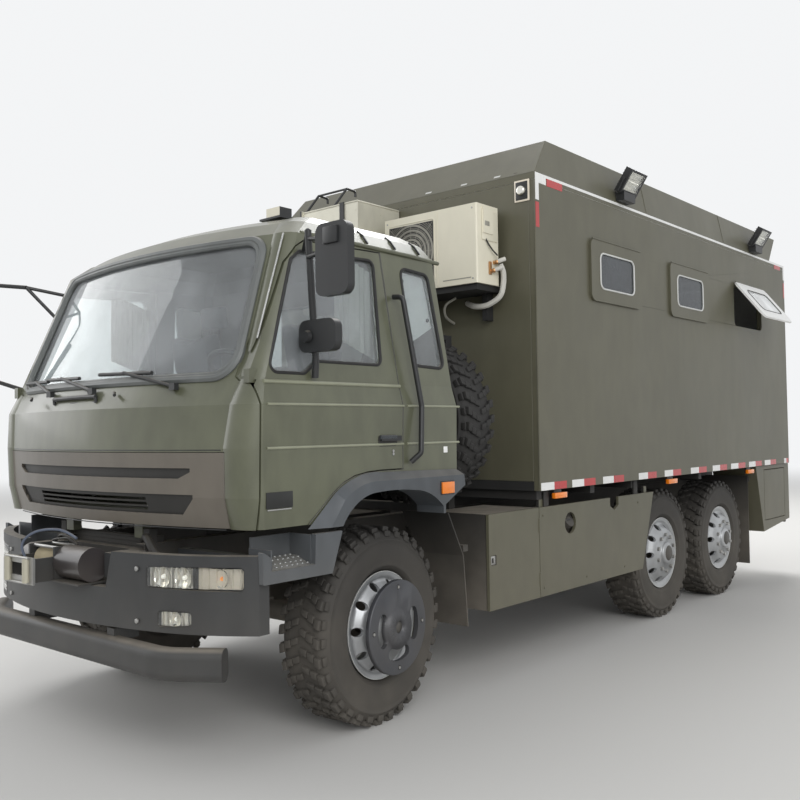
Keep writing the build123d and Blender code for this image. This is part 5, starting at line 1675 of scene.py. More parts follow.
@dataclass(frozen=True)
class BoxBody:
    """The box's walls, roof and floor, its reflective tape, marker lamps, hangers and window seals."""

    foot_tapes: Rows = (
        (1.417, 1.739), (1.812, 2.133), (2.246, 2.567), (2.812, 3.122), (3.271, 3.585), (3.784, 4.12),
        (4.257, 4.59), (4.69, 5.052), (5.149, 5.497), (5.584, 5.915), (6.168, 6.3),
    )
    upper_tapes: Rows = (
        ("tape_white", 1.413, 6.318, 3.262, 3.2835), ("tape_white", 1.413, 1.455, 3.100, 3.262),
        ("tape_white", 1.455, 1.545, 3.215, 3.262), ("tape_white", 6.285, 6.318, 3.130, 3.262),
        ("tape_red", 1.555, 1.755, 3.212, 3.262), ("tape_red", 6.020, 6.200, 3.220, 3.262),
        ("tape_red", 1.4128, 1.455, 2.920, 3.086), ("tape_red", 6.285, 6.318, 2.940, 3.100),
    )
    rear_tapes: Numbers = (-1.2, -0.72, 0.4, 0.88)
    side_lamps: Rows = ((1.596, 1.75), (3.355, 3.522), (5.138, 5.294))
    hanger_spans: Rows = ((1.514, 1.573), (2.807, 2.869))
    walls: Names = ("box_wall_left", "box_wall_right", "box_wall_front", "box_rear_frame", "box_roof")

    def choose(self, facet: Facet) -> str:
        """Olive outside, white inside.

        Args:
            facet: a part of the node.

        Returns:
            Name of its finish.
        """
        x, station, height = facet.middle
        inside = abs(x) < 1.1865 and 1.459 < station < 6.272 and height < 3.2355
        return "inner_white" if inside else "box_olive"

    def floor(self, facet: Facet) -> str:
        """Pale floor inside, black members below."""
        return "floor_grey" if facet.normal.z > 0.9 and facet.middle.z > 1.25 else "chassis_black"

    def tapes(self, kit: Kit) -> None:
        """White and red tape along the foot of each side, down the corners and along the roof's edge."""
        shape = Shape(kit, "tape_white")
        for side in BOTH:
            view, out = side_view(side * (WALL_X + 0.001)), side * 0.0015
            for start, end in self.foot_tapes:
                middle = (start + end) / 2
                shape.paint("tape_white").block((start, 1.197, 0), (middle, 1.247, out), 0.0, view)
                shape.paint("tape_red").block((middle, 1.197, 0), (end, 1.247, out), 0.0, view)
            for finish, start, end, low, high in self.upper_tapes:
                shape.paint(finish).block((start, low, 0), (end, high, out), 0.0, view)
        rear = front_view(6.3205)
        for x in self.rear_tapes:
            shape.paint("tape_white").block((x, 1.2, 0), (x + 0.16, 1.25, -0.0015), 0.0, rear)
            shape.paint("tape_red").block((x + 0.16, 1.2, 0), (x + 0.32, 1.25, -0.0015), 0.0, rear)
        shape.done("box_tapes", "chassis")

    def lamps(self, kit: Kit) -> None:
        """Amber lamps under each side, the front marker lamps and their frames."""
        shape = Shape(kit, "amber_lens")
        for side in BOTH:
            view = side_view(side * 1.205)
            for start, end in self.side_lamps:
                foot, top = (start + 0.03, 1.135, -0.02 * side), (end - 0.03, 1.196, 0.0)
                shape.paint("lamp_black").block(foot, top, 0.002, view)
                shape.paint("amber_lens").block((start, 1.134, 0.0), (end, 1.172, side * 0.029), 0.004, view)
            corner = level(side * 1.138, 1.411, 3.17)
            shape.paint("lamp_cream").block((-0.058, -0.008, -0.072), (0.058, 0.0, 0.072), 0.003, corner)
            shape.paint("lamp_black").block((-0.046, -0.012, -0.06), (0.046, -0.006, 0.06), 0.003, corner)
            front = corner @ aimed((0, -0.011, 0.0), (0, -1, 0))
            shape.paint("reflector").rod(front, 0.036, 0.022, 20, 0.028, 0.004)
        shape.done("box_lamps", "chassis")

    def hangers(self, kit: Kit) -> None:
        """Straps that hold the skirts up to the floor."""
        shape = Shape(kit, "chassis_black")
        for side in BOTH:
            for start, end in self.hanger_spans:
                shape.block((start, 1.06, 0), (end, 1.195, side * 0.012), 0.002, side_view(side * 1.1825))
        shape.done("skirt_hangers", "chassis")

    def corners(self, kit: Kit) -> None:
        """Corner mouldings of the box and a rubber seal round each window hole."""
        shape = Shape(kit, "box_olive")
        for side in BOTH:
            for station in (1.411, 6.320):
                shape.bar(spot(side * 1.231, station, 1.197), spot(side * 1.231, station, 3.23), 0.0058, 8)
            shape.bar(spot(side * 1.233, 1.415, 3.2845), spot(side * 1.233, 5.85, 3.2845), 0.006, 8)
        shape.paint("black_rubber")
        hole = panel(-0.371, 0.371, 2.533, 2.927, 0.06)
        for sash in SASHES:
            seal = [(sash.side * (WALL_X - 0.0025), sash.station + s, z) for s, z in hole]
            shape.run(seal, 0.0035, 6, closed=True)
        shape.done("box_corners", "chassis")

    def build(self, kit: Kit) -> None:
        """Dress the walls and add their fittings."""
        for node in self.walls:
            kit.dress_by(node, self.choose)
            kit.round_edges(kit.nodes[node], 0.003)
        kit.dress_by("box_floor", self.floor)
        for add in (self.tapes, self.lamps, self.hangers, self.corners):
            add(kit)
        LOG.info("box: walls, tapes, lamps, hangers")


@dataclass(frozen=True)
class Sash:
    """One window sash: frame, pane, trim and rubber; the one that stands open shows its white inside."""

    node: str
    side: int
    station: float
    open_by: float = 0.0

    TOP, HALF_Z, FACE = 2.955, 0.225, 1.255

    def hinge(self) -> Matrix:
        """Placement that turns the closed sash to where it is parked."""
        pin = level(self.FACE * self.side, self.station, self.TOP)
        return pin @ Matrix.Rotation(-self.open_by * self.side, 4, "Y") @ pin.inverted()

    def choose(self, facet: Facet) -> str:
        """Glass for the pane, darkened by painted shade while the sash is shut; the frame is olive outside
        and white inside.

        Args:
            facet: a part of the node.

        Returns:
            Name of its finish.
        """
        if (facet.high - facet.low).y < 0.6:
            # a shut sash's pane is darkened by painted shade; the open one's pane gets a pale film
            return "pane_bright" if self.open_by else "pane_glass"
        if self.open_by:
            return "sash_white"
        out = Vector((self.side, 0, 0))
        out.rotate(self.hinge().to_3x3())
        return "sash_white" if facet.normal.dot(out) < -0.5 else "box_olive"

    def outline(self, half_y: float, half_z: float, radius: float) -> Flat:
        """Rounded outline about the sash's middle, as station and height."""
        middle = self.TOP - self.HALF_Z
        return [(self.station + s, middle + z) for s, z in panel(-half_y, half_y, -half_z, half_z, radius, 6)]

    def build(self, kit: Kit) -> None:
        """Dress the sash and add trim, rubber, hinge rod and catch."""
        kit.dress_by(self.node, self.choose)
        turn = self.hinge()
        # the open sash's thin dark line is a groove in painted shade
        shape = Shape(kit, "dark_recess" if self.open_by else "trim_white")
        x = self.side * (self.FACE + 0.001)
        size = 0.0035 if self.open_by else 0.0065
        shape.pipe([turn @ spot(x, s, z) for s, z in self.outline(0.264, 0.129, 0.05)], size, 8, closed=True)
        shape.paint("black_rubber")
        inner = self.side * (self.FACE - 0.0165)
        for half_y, half_z in ((0.355, 0.19), (0.268, 0.133)):
            line = self.outline(half_y, half_z, 0.05)
            shape.pipe([turn @ spot(inner, s, z) for s, z in line], 0.0028, 6, closed=True)
        shape.paint("box_olive")
        rod_line = [turn @ spot(x, self.station + s, self.TOP - 0.004) for s in (-0.38, 0.38)]
        shape.bar(*rod_line, 0.005, 8)
        shape.paint("bare_steel")
        foot = turn @ spot(self.side * (self.FACE - 0.022), self.station, self.TOP - 0.395)
        catch = Matrix.Translation(foot) @ turn.to_3x3().to_4x4()
        shape.block((-0.006, -0.03, -0.012), (0.006, 0.03, 0.012), 0.003, catch)
        shape.done(f"{self.node}_trim", self.node)


SASHES = (
    Sash("window_left_1", 1, 2.505), Sash("window_left_2", 1, 3.825),
    Sash("window_left_3", 1, 5.240, math.radians(38)),
    Sash("window_right_1", -1, 2.505), Sash("window_right_3", -1, 5.240),
)


@dataclass(frozen=True)
class Fairing:
    """White dashes low on the roof cover's sloping front, which are painted highlights, and its seam lines.
    """

    highlight_dashes: Rows = ((0.30, 0.055), (0.62, 0.05), (0.90, 0.05))
    seams: Numbers = (3.05, 4.65)

    def build(self, kit: Kit) -> None:
        """Build the white dashes of painted highlight, which lie on the slope."""
        shape = Shape(kit, "trim_white")
        across, slope = Vector((1, 0, 0)), Vector((0, 0.228, 0.2655)).normalized()
        axes = Matrix((across, slope, across.cross(slope))).transposed().to_4x4()
        # painted highlights: white dashes along the foot of the slope
        for x, length in self.highlight_dashes:
            place = level(x, 1.428, 3.3025) @ axes
            shape.block((0, 0, -0.001), (length, 0.016, 0.0015), 0.0, place)
        foot = level(1.06, 1.428, 3.3035)
        shape.paint("lamp_black").block((0, 0, -0.001), (0.03, 0.012, 0.0015), 0.0, foot)
        shape.paint("box_olive")
        for s in self.seams:
            shape.run([(x, s, z) for x, z in ((1.2362, 3.29), (1.1825, 3.553), (1.17, 3.5575))], 0.003, 6)
        shape.done("fairing_highlights_and_seams", "chassis")
        LOG.info("fairing: marks and seams")


@dataclass(frozen=True)
class Aircon:
    """Outdoor cooling unit: case, dark fan space, guard rings, end cover, taps and hoses."""

    centre: Point = (0.427, 1.109, 2.81)
    rings: int = 21
    ring_steps: int = 72
    spokes: int = 8
    taps: Rows = ((1.262, 2.64), (1.296, 2.70))
    hose: Rows = (
        (1.006, 1.335, 2.69), (1.018, 1.352, 2.63), (1.012, 1.352, 2.54), (0.985, 1.345, 2.475),
        (0.90, 1.325, 2.428), (0.80, 1.33, 2.43), (0.72, 1.37, 2.455), (0.68, 1.405, 2.47),
    )
    drain: Rows = ((0.66, 1.30, 2.50), (0.60, 1.26, 2.45), (0.57, 1.30, 2.38), (0.565, 1.40, 2.34))
    wire: Rows = ((0.984, 1.205, 2.845), (0.992, 1.225, 2.81), (0.998, 1.262, 2.775), (1.008, 1.30, 2.745))

    def choose(self, facet: Facet) -> str:
        """Cream case, black behind the rings, dark tray.

        Args:
            facet: a part of the node.

        Returns:
            Name of its finish.
        """
        _, station, height = facet.middle
        if height < 2.549:
            return "chassis_black"
        if 1.12 < station < 1.13 and facet.normal.y < -0.9:
            return "fan_dark"
        ring = station < 1.1185 and facet.off_axis(self.centre, Axis.Y) < 0.2
        return "ring_grey" if ring else "aircon_cream"

    def guard(self, shape: Shape) -> None:
        """Concentric wires over the fan, cut to the square frame, and a few straight ones."""
        shape.paint("ring_grey")
        x0, _, z0 = self.centre
        for n in range(1, self.rings + 1):
            radius, run = 0.012 * n + 0.016, []
            for step in range(self.ring_steps + 1):
                turn = math.tau * step / self.ring_steps
                x, z = x0 + radius * math.cos(turn), z0 + radius * math.sin(turn)
                inside = 0.234 < x < 0.620 and 2.614 < z < 3.006
                if inside:
                    run.append(spot(x, 1.1045, z))
                if run and (not inside or step == self.ring_steps):
                    if len(run) > 1:
                        shape.pipe(run, 0.0019, 4)
                    run = []
        for n in range(self.spokes):
            turn = math.pi * n / self.spokes
            reach = 0.19 / max(abs(math.cos(turn)), abs(math.sin(turn)))
            ends = [spot(x0 + r * math.cos(turn), 1.1065, z0 + r * math.sin(turn)) for r in (-reach, reach)]
            shape.bar(*ends, 0.0018, 6)
        shape.peg((x0, 1.108, z0), (0, -1, 0), 0.026, 0.006, 20)

    def build(self, kit: Kit) -> None:
        """Dress the unit and add its fittings."""
        kit.dress_by("aircon_unit", self.choose)
        front, end = front_view(self.centre[1]), side_view(0.9795)
        shape = Shape(kit, "fan_dark").block((0.232, 2.612, 0.0), (0.622, 3.008, 0.0015), 0.0, front)
        self.guard(shape)
        frame = panel(0.222, 0.632, 2.60, 3.02, 0.02)
        shape.paint("aircon_cream").run([(x, 1.1085, z) for x, z in frame], 0.004, 6, closed=True)
        shape.block((0.652, 2.56, 0.0), (0.657, 3.06, 0.003), 0.0, front)
        shape.paint("ring_grey").block((0.70, 2.585, 0.0), (0.93, 2.591, 0.002), 0.0, front)
        shape.block((1.185, 2.93, 0.0), (1.235, 2.96, 0.0025), 0.002, side_view(0.9925))
        shape.paint("aircon_cream").block((1.163, 2.836, 0.0), (1.337, 3.03, 0.006), 0.004, end)
        shape.paint("copper")
        for s, z in self.taps:
            shape.peg((0.978, s, z), (1, 0, 0), 0.013, 0.022, 12, bevel=0.002)
            shape.peg((0.998, s, z), (1, 0.5, 0.3), 0.016, 0.014, 6, bevel=0.002)
        shape.block((1.235, 2.615, 0.0), (1.262, 2.70, 0.010), 0.003, end)
        shape.paint("foam_white")
        for s, z in self.taps:
            shape.peg((1.002, s + 0.006, z + 0.004), (0.7, 0.7, 0.35), 0.015, 0.06, 14, bevel=0.004)
        shape.run(smooth_line(self.hose), 0.019, 8)
        shape.paint("ring_grey").run(smooth_line(self.drain), 0.009, 8)
        shape.paint("black_rubber").run(smooth_line(self.wire), 0.005)
        shape.paint("bare_steel")
        for x in (0.215, 0.945):
            for z in (2.58, 3.04):
                shape.peg((x, 1.110, z), (0, -1, 0), 0.006, 0.004, 8)
        shape.done("aircon_fittings", "chassis")
        LOG.info("cooling unit: fittings")


class Vent:
    """Kitchen vent housing of pale sheet, with its dark strap and seams."""

    def choose(self, facet: Facet) -> str:
        """Pale sheet, dark strap and rods.

        Args:
            facet: a part of the node.

        Returns:
            Name of its finish.
        """
        x, station, height = facet.middle
        if height > 3.229:
            return "lamp_black"
        strap = -0.102 < x < -0.058 and station < 0.9585
        edge = x < -0.4895 and station < 0.981
        return "lamp_black" if strap or edge else "vent_cream"

    def build(self, kit: Kit) -> None:
        """Dress the housing and add its folded seams."""
        kit.dress_by("vent_housing", self.choose)
        shape = Shape(kit, "vent_cream")
        for z in (2.475, 3.212):
            shape.run([(x, s, z) for x, s in ((-0.47, 0.959), (0.07, 0.959), (0.0715, 1.40))], 0.005, 6)
        for z in (2.6, 2.8, 3.0, 3.15):
            shape.peg((0.045, 0.9605, z), (0, -1, 0), 0.005, 0.003, 8)
            shape.peg((0.0705, 1.2, z), (1, 0, 0), 0.005, 0.003, 8)
        shape.done("vent_seams", "chassis")
        LOG.info("vent housing")


@dataclass(frozen=True)
class Floodlights:
    """Two floodlights on the roof's left edge: reflectors, bulbs with a painted glow, glass, fins and yokes.
    """

    tilt: float = math.radians(34)
    stations: Numbers = (2.64, 5.4)

    def build(self, kit: Kit) -> None:
        """Fill the cases, which are dressed with the bodywork."""
        shape, cover = Shape(kit, "reflector"), Shape(kit, "lamp_glass")
        for station in self.stations:
            head = level(1.312, station, 3.435) @ Matrix.Rotation(self.tilt, 4, "Y")
            shape.paint("reflector").block((0.0145, -0.104, -0.061), (0.0165, 0.104, 0.077), 0.0, head)
            for z in (-0.03, 0.045):
                shape.block((0.016, -0.095, z - 0.02), (0.02, 0.095, z + 0.02), 0.004, head)
            # the bulb has a painted glow
            shape.paint("bulb_white").rod(head @ aimed((0.0215, -0.06, 0.008), (0, 1, 0)), 0.0035, 0.12, 10)
            shape.paint("lamp_black")
            for n in range(7):
                shape.block((-0.046, -0.1, -0.07 + n * 0.022), (-0.027, 0.1, -0.064 + n * 0.022), 0.0, head)
            for y in (-0.131, 0.125):
                shape.block((-0.012, y, -0.02), (0.012, y + 0.006, 0.02), 0.002, head)
                shape.bar(head @ Vector((0, y + 0.003, 0)), spot(1.27, station + y, 3.36), 0.006, 8)
            cover.block((0.0235, -0.1045, -0.0615), (0.0265, 0.1045, 0.0775), 0.0, head)
        shape.done("floodlight_parts", "chassis")
        cover.done("floodlight_glass", "chassis")
        LOG.info("floodlights: 2")


@dataclass(frozen=True)
class Skirts:
    """Side skirts, cabinets and flaps: finishes, filler cap, latches, hinges and screws."""

    screws: Rows = ((1.49, 0.56), (1.49, 1.03), (2.05, 0.56), (2.62, 0.56), (2.86, 1.02))

    def skirt(self, facet: Facet) -> str:
        """Olive panel; dark brackets, rails and cabinet inside."""
        return "box_olive" if abs(facet.middle.x) > 1.1815 else "chassis_black"

    def flap(self, facet: Facet) -> str:
        """Rubber sheet on a dark bar."""
        return "black_rubber" if facet.middle.y < 5.4035 and facet.middle.z < 1.0399 else "chassis_black"

    def latch(self, facet: Facet) -> str:
        """Olive lid with its latch recess darkened as painted shade."""
        pit = 0.885 < facet.middle.y < 0.954 and 0.77 < facet.middle.z < 0.84 and abs(facet.middle.x) > 1.18
        # painted shade in the latch recess
        return "dark_recess" if pit and abs(facet.middle.x) < 1.2015 else "box_olive"

    def build(self, kit: Kit) -> None:
        """Dress the nodes and add the small parts."""
        kit.dress_by("side_skirts", self.skirt)
        kit.dress_by("mud_flaps", self.flap)
        for name, side in SIDES:
            node = f"cabinet_door_{name}"
            kit.dress_by(node, self.latch)
            shape = Shape(kit, "bare_steel")
            view = side_view(side * 1.1945)
            shape.block((0.896, 0.779, 0.0), (0.944, 0.831, side * 0.004), 0.002, view)
            low, high = (0.905, 0.79, side * 0.004), (0.918, 0.82, side * 0.009)
            shape.paint("lamp_black").block(low, high, 0.002, view)
            shape.done(f"cabinet_latch_{name}", node)
        shape = Shape(kit, "box_olive")
        for side in BOTH:
            for z in (0.62, 0.97):
                ends = [spot(side * 1.203, 1.4385, z + up) for up in (-0.045, 0.045)]
                shape.bar(*ends, 0.006, 8)
            for s, z in self.screws:
                shape.rod(side_view(side * 1.2015) @ Matrix.Translation((s, z, 0)), 0.008, side * 0.004, 10)
        cap = aimed(spot(1.158, 1.836, 0.951), (1, 0, -0.55))
        shape.paint("lamp_black").rod(cap, 0.05, 0.022, 24, 0.046, 0.004)
        shape.done("skirt_fittings", "chassis")
        LOG.info("skirts: caps, latches, screws")


@dataclass(frozen=True)
class RearEnd:
    """Rear and side doors, their hinges and handles, and the lamps of the rear bar."""

    lenses: Rows = (
        ("red_lens", 0.793, 0.897), ("amber_lens", 0.903, 0.997), ("lamp_cream", 1.003, 1.097),
    )

    def door(self, facet: Facet) -> str:
        """Olive leaf, white inside, bright lock rod.

        Args:
            facet: a part of the node.

        Returns:
            Name of its finish.
        """
        x, station, _ = facet.middle
        if station > 6.3235:
            return "bare_steel"
        return "inner_white" if station < 6.2735 and facet.normal.y < -0.5 else "box_olive"

    def side_door(self, facet: Facet) -> str:
        """Olive leaf, white inside, a pane darkened by painted shade, dark handle.

        Args:
            facet: a part of the node.

        Returns:
            Name of its finish.
        """
        if (facet.high - facet.low).y < 0.5:
            # the pane is darkened by painted shade
            return "pane_glass"
        if facet.middle.x < -1.2385:
            return "lamp_black"
        return "inner_white" if facet.normal.x > 0.5 and facet.middle.x > -1.187 else "box_olive"

    def build(self, kit: Kit) -> None:
        """Dress the doors and add the small parts."""
        for name, side in SIDES:
            node = f"rear_door_{name}"
            kit.dress_by(node, self.door)
            shape = Shape(kit, "black_rubber")
            edge = panel(side * 0.012, side * 1.032, 1.318, 3.102, 0.03)
            shape.run([(x, 6.3232, z) for x, z in edge], 0.004, 6, closed=True)
            shape.paint("bare_steel")
            for z in (1.55, 2.2, 2.85):
                low, high = (side * 0.93, z - 0.03, -0.012), (side * 1.036, z + 0.03, 0.001)
                shape.block(low, high, 0.003, front_view(6.3235))
            shape.bar(spot(side * 0.09, 6.372, 1.95), spot(side * 0.26, 6.366, 1.95), 0.011)
            shape.done(f"{node}_fittings", node)
        kit.dress_by("side_door", self.side_door)
        shape = Shape(kit, "black_rubber")
        for finish, outline, size in (("black_rubber", panel(3.46, 4.19, 1.33, 3.05, 0.05), 0.004),
                                      ("trim_white", panel(3.618, 4.032, 2.553, 2.847, 0.05), 0.006)):
            shape.paint(finish).run([(-1.2385, s, z) for s, z in outline], size, 6, closed=True)
        shape.done("side_door_fittings", "side_door")
        lamps = Shape(kit, "red_lens")
        for side in BOTH:
            for finish, start, end in self.lenses:
                low, high = (side * start, 0.686, 0.0), (side * end, 0.772, -0.0019)
                lamps.paint(finish).block(low, high, 0.0, front_view(6.438))
        lamps.paint("plate_dark").block((-0.22, 0.572, 0.0), (0.22, 0.668, -0.0), 0.0, front_view(6.4405))
        lamps.done("rear_lamps", "chassis")
        LOG.info("doors and rear lamps")


@dataclass(frozen=True)
class Cushion:
    """A stuffed block of cloth, filled by a short cloth simulation.

    Attributes:
        name: the piece's name.
        low: lowest corner before it leans.
        high: highest corner before it leans.
        place: its X, station and height.
        lean: angle that it leans back by.
        fill: how full it is; not used.
        cell: size of the simulated cloth's cells.
    """

    name: str
    low: Point
    high: Point
    place: Point
    lean: float = 0.0
    fill: float = 0.8
    cell: float = 0.012

    SLACK, BULGE = 0.006, 0.012
    FRAMES = 12

    def stuff(self, piece: bpy.types.Object) -> None:
        """Fill the block with air for a few frames, and keep the mesh that it settles to."""
        remesh = piece.modifiers.new("cells", "REMESH")
        remesh.mode, remesh.voxel_size = "VOXEL", self.cell
        cloth = piece.modifiers.new("stuffing", "CLOTH")
        cloth.settings.use_pressure = True
        cloth.settings.uniform_pressure_force = 4.0
        cloth.settings.effector_weights.gravity = 0.0
        cloth.point_cache.frame_start, cloth.point_cache.frame_end = 1, 20
        scene = bpy.context.scene
        for frame in range(1, self.FRAMES + 1):
            scene.frame_set(frame)
        settled = bpy.data.meshes.new_from_object(piece.evaluated_get(bpy.context.evaluated_depsgraph_get()))
        piece.modifiers.clear()
        finish = piece.data.materials[0]
        piece.data = settled
        settled.materials.clear()
        settled.materials.append(finish)
        for vert in settled.vertices:
            for n in range(3):
                vert.co[n] = min(max(vert.co[n], self.low[n] - self.BULGE), self.high[n] + self.BULGE)
        scene.frame_set(1)

    def build(self, kit: Kit) -> None:
        """Build the block, fill it, and put it in place."""
        shape = Shape(kit, "seat_cloth")
        shape.block([v + self.SLACK for v in self.low], [v - self.SLACK for v in self.high], 0.022)
        piece = shape.done(self.name, "cab")
        self.stuff(piece)
        piece.data.transform(level(*self.place) @ Matrix.Rotation(-self.lean, 4, "X"))
        piece.data.shade_smooth()


@dataclass(frozen=True)
class Seats:
    """Two cab seats and the sleeper's mattress: stuffed pieces on plain bases."""

    seat_xs: Numbers = (-0.55, 0.55)

    def bases(self, kit: Kit) -> None:
        """Seat boxes, pans, headrest posts and the bunk's board."""
        base = Shape(kit, "dash_grey")
        for x in self.seat_xs:
            middle = level(x, 0, 0)
            base.block((-0.19, -0.32, 1.426), (0.19, 0.06, 1.598), 0.012, middle)
            base.block((-0.235, -0.40, 1.586), (0.235, 0.09, 1.606), 0.008, middle)
            for post in (-0.05, 0.05):
                base.bar(spot(x + post, 0.19, 2.22), spot(x + post, 0.196, 2.34), 0.006)
        base.block((-1.06, 0.262, 1.426), (1.06, 0.52, 1.50), 0.008, top_view(0))
        base.done("seat_bases", "cab", ["seats"])

    def cushions(self) -> Iterable[Cushion]:
        """The stuffed pieces: cushion, back and headrest of each seat, and the mattress."""
        for number, x in enumerate(self.seat_xs, 1):
            yield Cushion(f"seat_cushion_{number}", (-0.25, -0.26, 0.0), (0.25, 0.26, 0.088),
                          (x, -0.16, 1.606), 0.02)
            yield Cushion(f"seat_back_{number}", (-0.24, -0.042, 0.0), (0.24, 0.042, 0.58),
                          (x, 0.105, 1.690), -0.14)
            yield Cushion(f"seat_head_{number}", (-0.13, -0.034, 0.0), (0.13, 0.034, 0.165),
                          (x, 0.198, 2.292), -0.1, 0.9, 0.010)
        yield Cushion("sleeper_mattress", (-1.05, -0.125, 0.0), (1.05, 0.125, 0.135),
                      (0, 0.39, 1.502), 0.0, 0.7, 0.02)

    def build(self, kit: Kit) -> None:
        """Build both seats and the bed."""
        self.bases(kit)
        for cushion in self.cushions():
            cushion.build(kit)
        LOG.info("seats: 6 stuffed pieces and the mattress")


@dataclass(frozen=True)
class Kitchen:
    """Counters inside the box, with burners and drawer fronts."""

    burners: Numbers = (2.1, 2.76, 4.6, 5.26)
    ring_radii: Numbers = (0.06, 0.12, 0.175)
    ring_section: Rows = ((0.006, 0.0), (0.0, 0.006), (-0.006, 0.0), (0.0, -0.006))

    def choose(self, facet: Facet) -> str:
        """Bright steel, black burners."""
        return "fan_dark" if facet.middle.z > 2.1165 else "kitchen_steel"

    def build(self, kit: Kit) -> None:
        """Dress the counters and add fronts and pan rings."""
        kit.dress_by("kitchen_units", self.choose)
        shape = Shape(kit, "kitchen_steel")
        for n in range(8):
            s = 1.52 + n * 0.575
            shape.block((s, 1.30, 0.0), (s + 0.55, 2.03, -0.006), 0.003, side_view(0.6695))
            shape.bar(spot(0.655, s + 0.2, 1.96), spot(0.655, s + 0.35, 1.96), 0.005, 8)
        shape.paint("fan_dark")
        for s in self.burners:
            place = level(0.91, s, 2.149)
            for radius in self.ring_radii:
                shape.lathe([(radius + a, b) for a, b in self.ring_section], place, 24)
        shape.done("kitchen_fronts", "chassis")
        LOG.info("kitchen: fronts and burners")


@dataclass(frozen=True)
class PhotoCamera:
    """Camera at the photograph's viewpoint.

    Attributes:
        place: its position.
        yaw: turn to the left from straight back along +Y, in degrees.
        pitch: tilt up, in degrees.
        roll: turn about the line of sight, in degrees.
        lens: focal length for a sensor 36 mm wide.
    """

    place: Point = (4.3736, at(-3.6143), 1.5742)
    yaw: float = 40.732
    pitch: float = 1.840
    roll: float = -0.827
    lens: float = 40.646

    def build(self) -> None:
        """Add the camera and make it the scene's own."""
        yaw, pitch, roll = (math.radians(v) for v in (self.yaw, self.pitch, self.roll))
        ahead = Vector((-math.sin(yaw) * math.cos(pitch), math.cos(yaw) * math.cos(pitch), math.sin(pitch)))
        flat = ahead.cross(Vector((0, 0, 1))).normalized()
        rise = flat.cross(ahead)
        right = flat * math.cos(roll) + rise * math.sin(roll)
        up = rise * math.cos(roll) - flat * math.sin(roll)
        data = bpy.data.cameras.new("photo_camera")
        data.sensor_width, data.lens = 36.0, self.lens
        data.clip_end = 400.0
        camera = linked("photo_camera", data)
        turn = Matrix((right, up, -ahead)).transposed().to_4x4()
        camera.matrix_world = Matrix.Translation(self.place) @ turn
        bpy.context.scene.camera = camera


@dataclass(frozen=True)
class Lamp:
    """One soft area lamp: where it stands, what it points at, its side and its power."""

    name: str
    place: Point
    aim: Point
    side: float
    power: float
    colour: Colour = (1.0, 1.0, 1.0)

    def build(self) -> None:
        """Add the lamp."""
        data = bpy.data.lights.new(self.name, "AREA")
        data.shape, data.size, data.energy, data.color = "SQUARE", self.side, self.power, self.colour
        toward = (Vector(self.aim) - Vector(self.place)).to_track_quat("-Z", "Y").to_matrix().to_4x4()
        linked(self.name, data).matrix_world = Matrix.Translation(self.place) @ toward


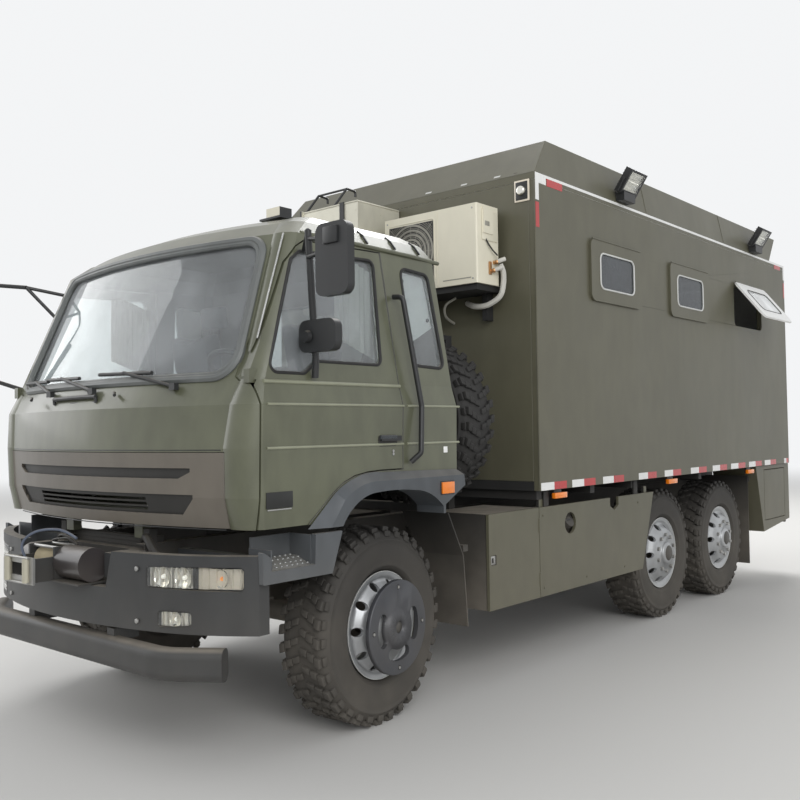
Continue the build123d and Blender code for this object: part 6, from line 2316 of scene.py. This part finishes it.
@dataclass(frozen=True)
class Studio:
    """Pale floor, pale world and soft lamps."""

    floor_colour: Colour = (0.62, 0.61, 0.59)
    backdrop: Colour = (0.90, 0.91, 0.92)
    sky: Colour = (0.96, 0.98, 1.0)
    straight_rays: Names = ("Camera", "Glossy", "Transmission")
    fade: tuple[float, float] = (11.0, 30.0)
    ambient: float = 0.62
    lamps: tuple[Lamp, ...] = (
        Lamp("high_back", (-4.0, 9.0, 12.0), (0.0, 0.0, 1.0), 9.0, 1500.0),
        Lamp("camera_side", (11.0, -9.0, 7.0), (0.0, -0.5, 1.2), 8.0, 900.0),
        Lamp("far_side", (-11.0, -6.0, 6.0), (0.0, 0.0, 1.2), 8.0, 350.0),
    )

    def world(self) -> None:
        """Plain light all round, and a pale background for what looks straight at it."""
        world = bpy.data.worlds.new("studio")
        tree = Tree(world)
        rays = tree.add("ShaderNodeLightPath").outputs
        camera, glossy, through = (Value(tree, rays[f"Is {kind} Ray"]) for kind in self.straight_rays)
        light = tree.add("ShaderNodeBackground", None, {0: self.sky, 1: self.ambient})
        seen = tree.add("ShaderNodeBackground", None, {0: self.backdrop, 1: 1.0})
        straight = camera.larger(glossy).larger(through)
        mix = tree.add("ShaderNodeMixShader", None, {0: straight, 1: light.outputs[0], 2: seen.outputs[0]})
        tree.add("ShaderNodeOutputWorld", None, {0: mix.outputs[0]})
        bpy.context.scene.world = world

    def floor(self) -> None:
        """Round floor that fades into the background far from the truck."""
        shape = bmesh.new()
        bmesh.ops.create_circle(shape, cap_ends=True, radius=90.0, segments=64)
        mesh = bpy.data.meshes.new("floor")
        shape.to_mesh(mesh)
        shape.free()
        graph = Graph("floor_grey")
        graph.set(Base_Color=self.floor_colour, Roughness=0.85)
        x, y, _ = graph.along()
        glow = graph.add("ShaderNodeEmission", None, {0: self.backdrop, 1: 1.0})
        graph.cover((x * x + y * y).root().rise(*self.fade), glow)
        mesh.materials.append(graph.material)
        linked("floor", mesh)

    def build(self) -> None:
        """Set the colour handling and add the studio's parts."""
        bpy.context.scene.view_settings.view_transform = "Standard"
        self.world()
        self.floor()
        for lamp in self.lamps:
            lamp.build()
        LOG.info("studio: %d lamps", len(self.lamps))


def corners(bounds: tuple[Vector, Vector]) -> list[list[float]]:
    """Lowest and highest corner as plain lists of numbers."""
    return [[round(v, 5) for v in corner] for corner in bounds]


def main() -> None:
    """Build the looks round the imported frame, piece by piece."""
    logging.basicConfig(level=logging.INFO, format="%(name)s: %(message)s")
    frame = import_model()
    kit = Kit(frame, Finishes())
    PhotoCamera().build()
    Studio().build()
    Bodywork().build(kit)
    Seats().build(kit)
    Wheels().build(kit)
    Cab().build(kit)
    for name, side in SIDES:
        CabDoor(name, side).build(kit)
        FrontLamps(side).build(kit)
    WinchGear().build(kit)
    Steps().build(kit)
    BoxBody().build(kit)
    for row in SASHES:
        row.build(kit)
    Fairing().build(kit)
    Aircon().build(kit)
    Vent().build(kit)
    Floodlights().build(kit)
    Skirts().build(kit)
    RearEnd().build(kit)
    Kitchen().build(kit)


if __name__ == "__main__":
    main()
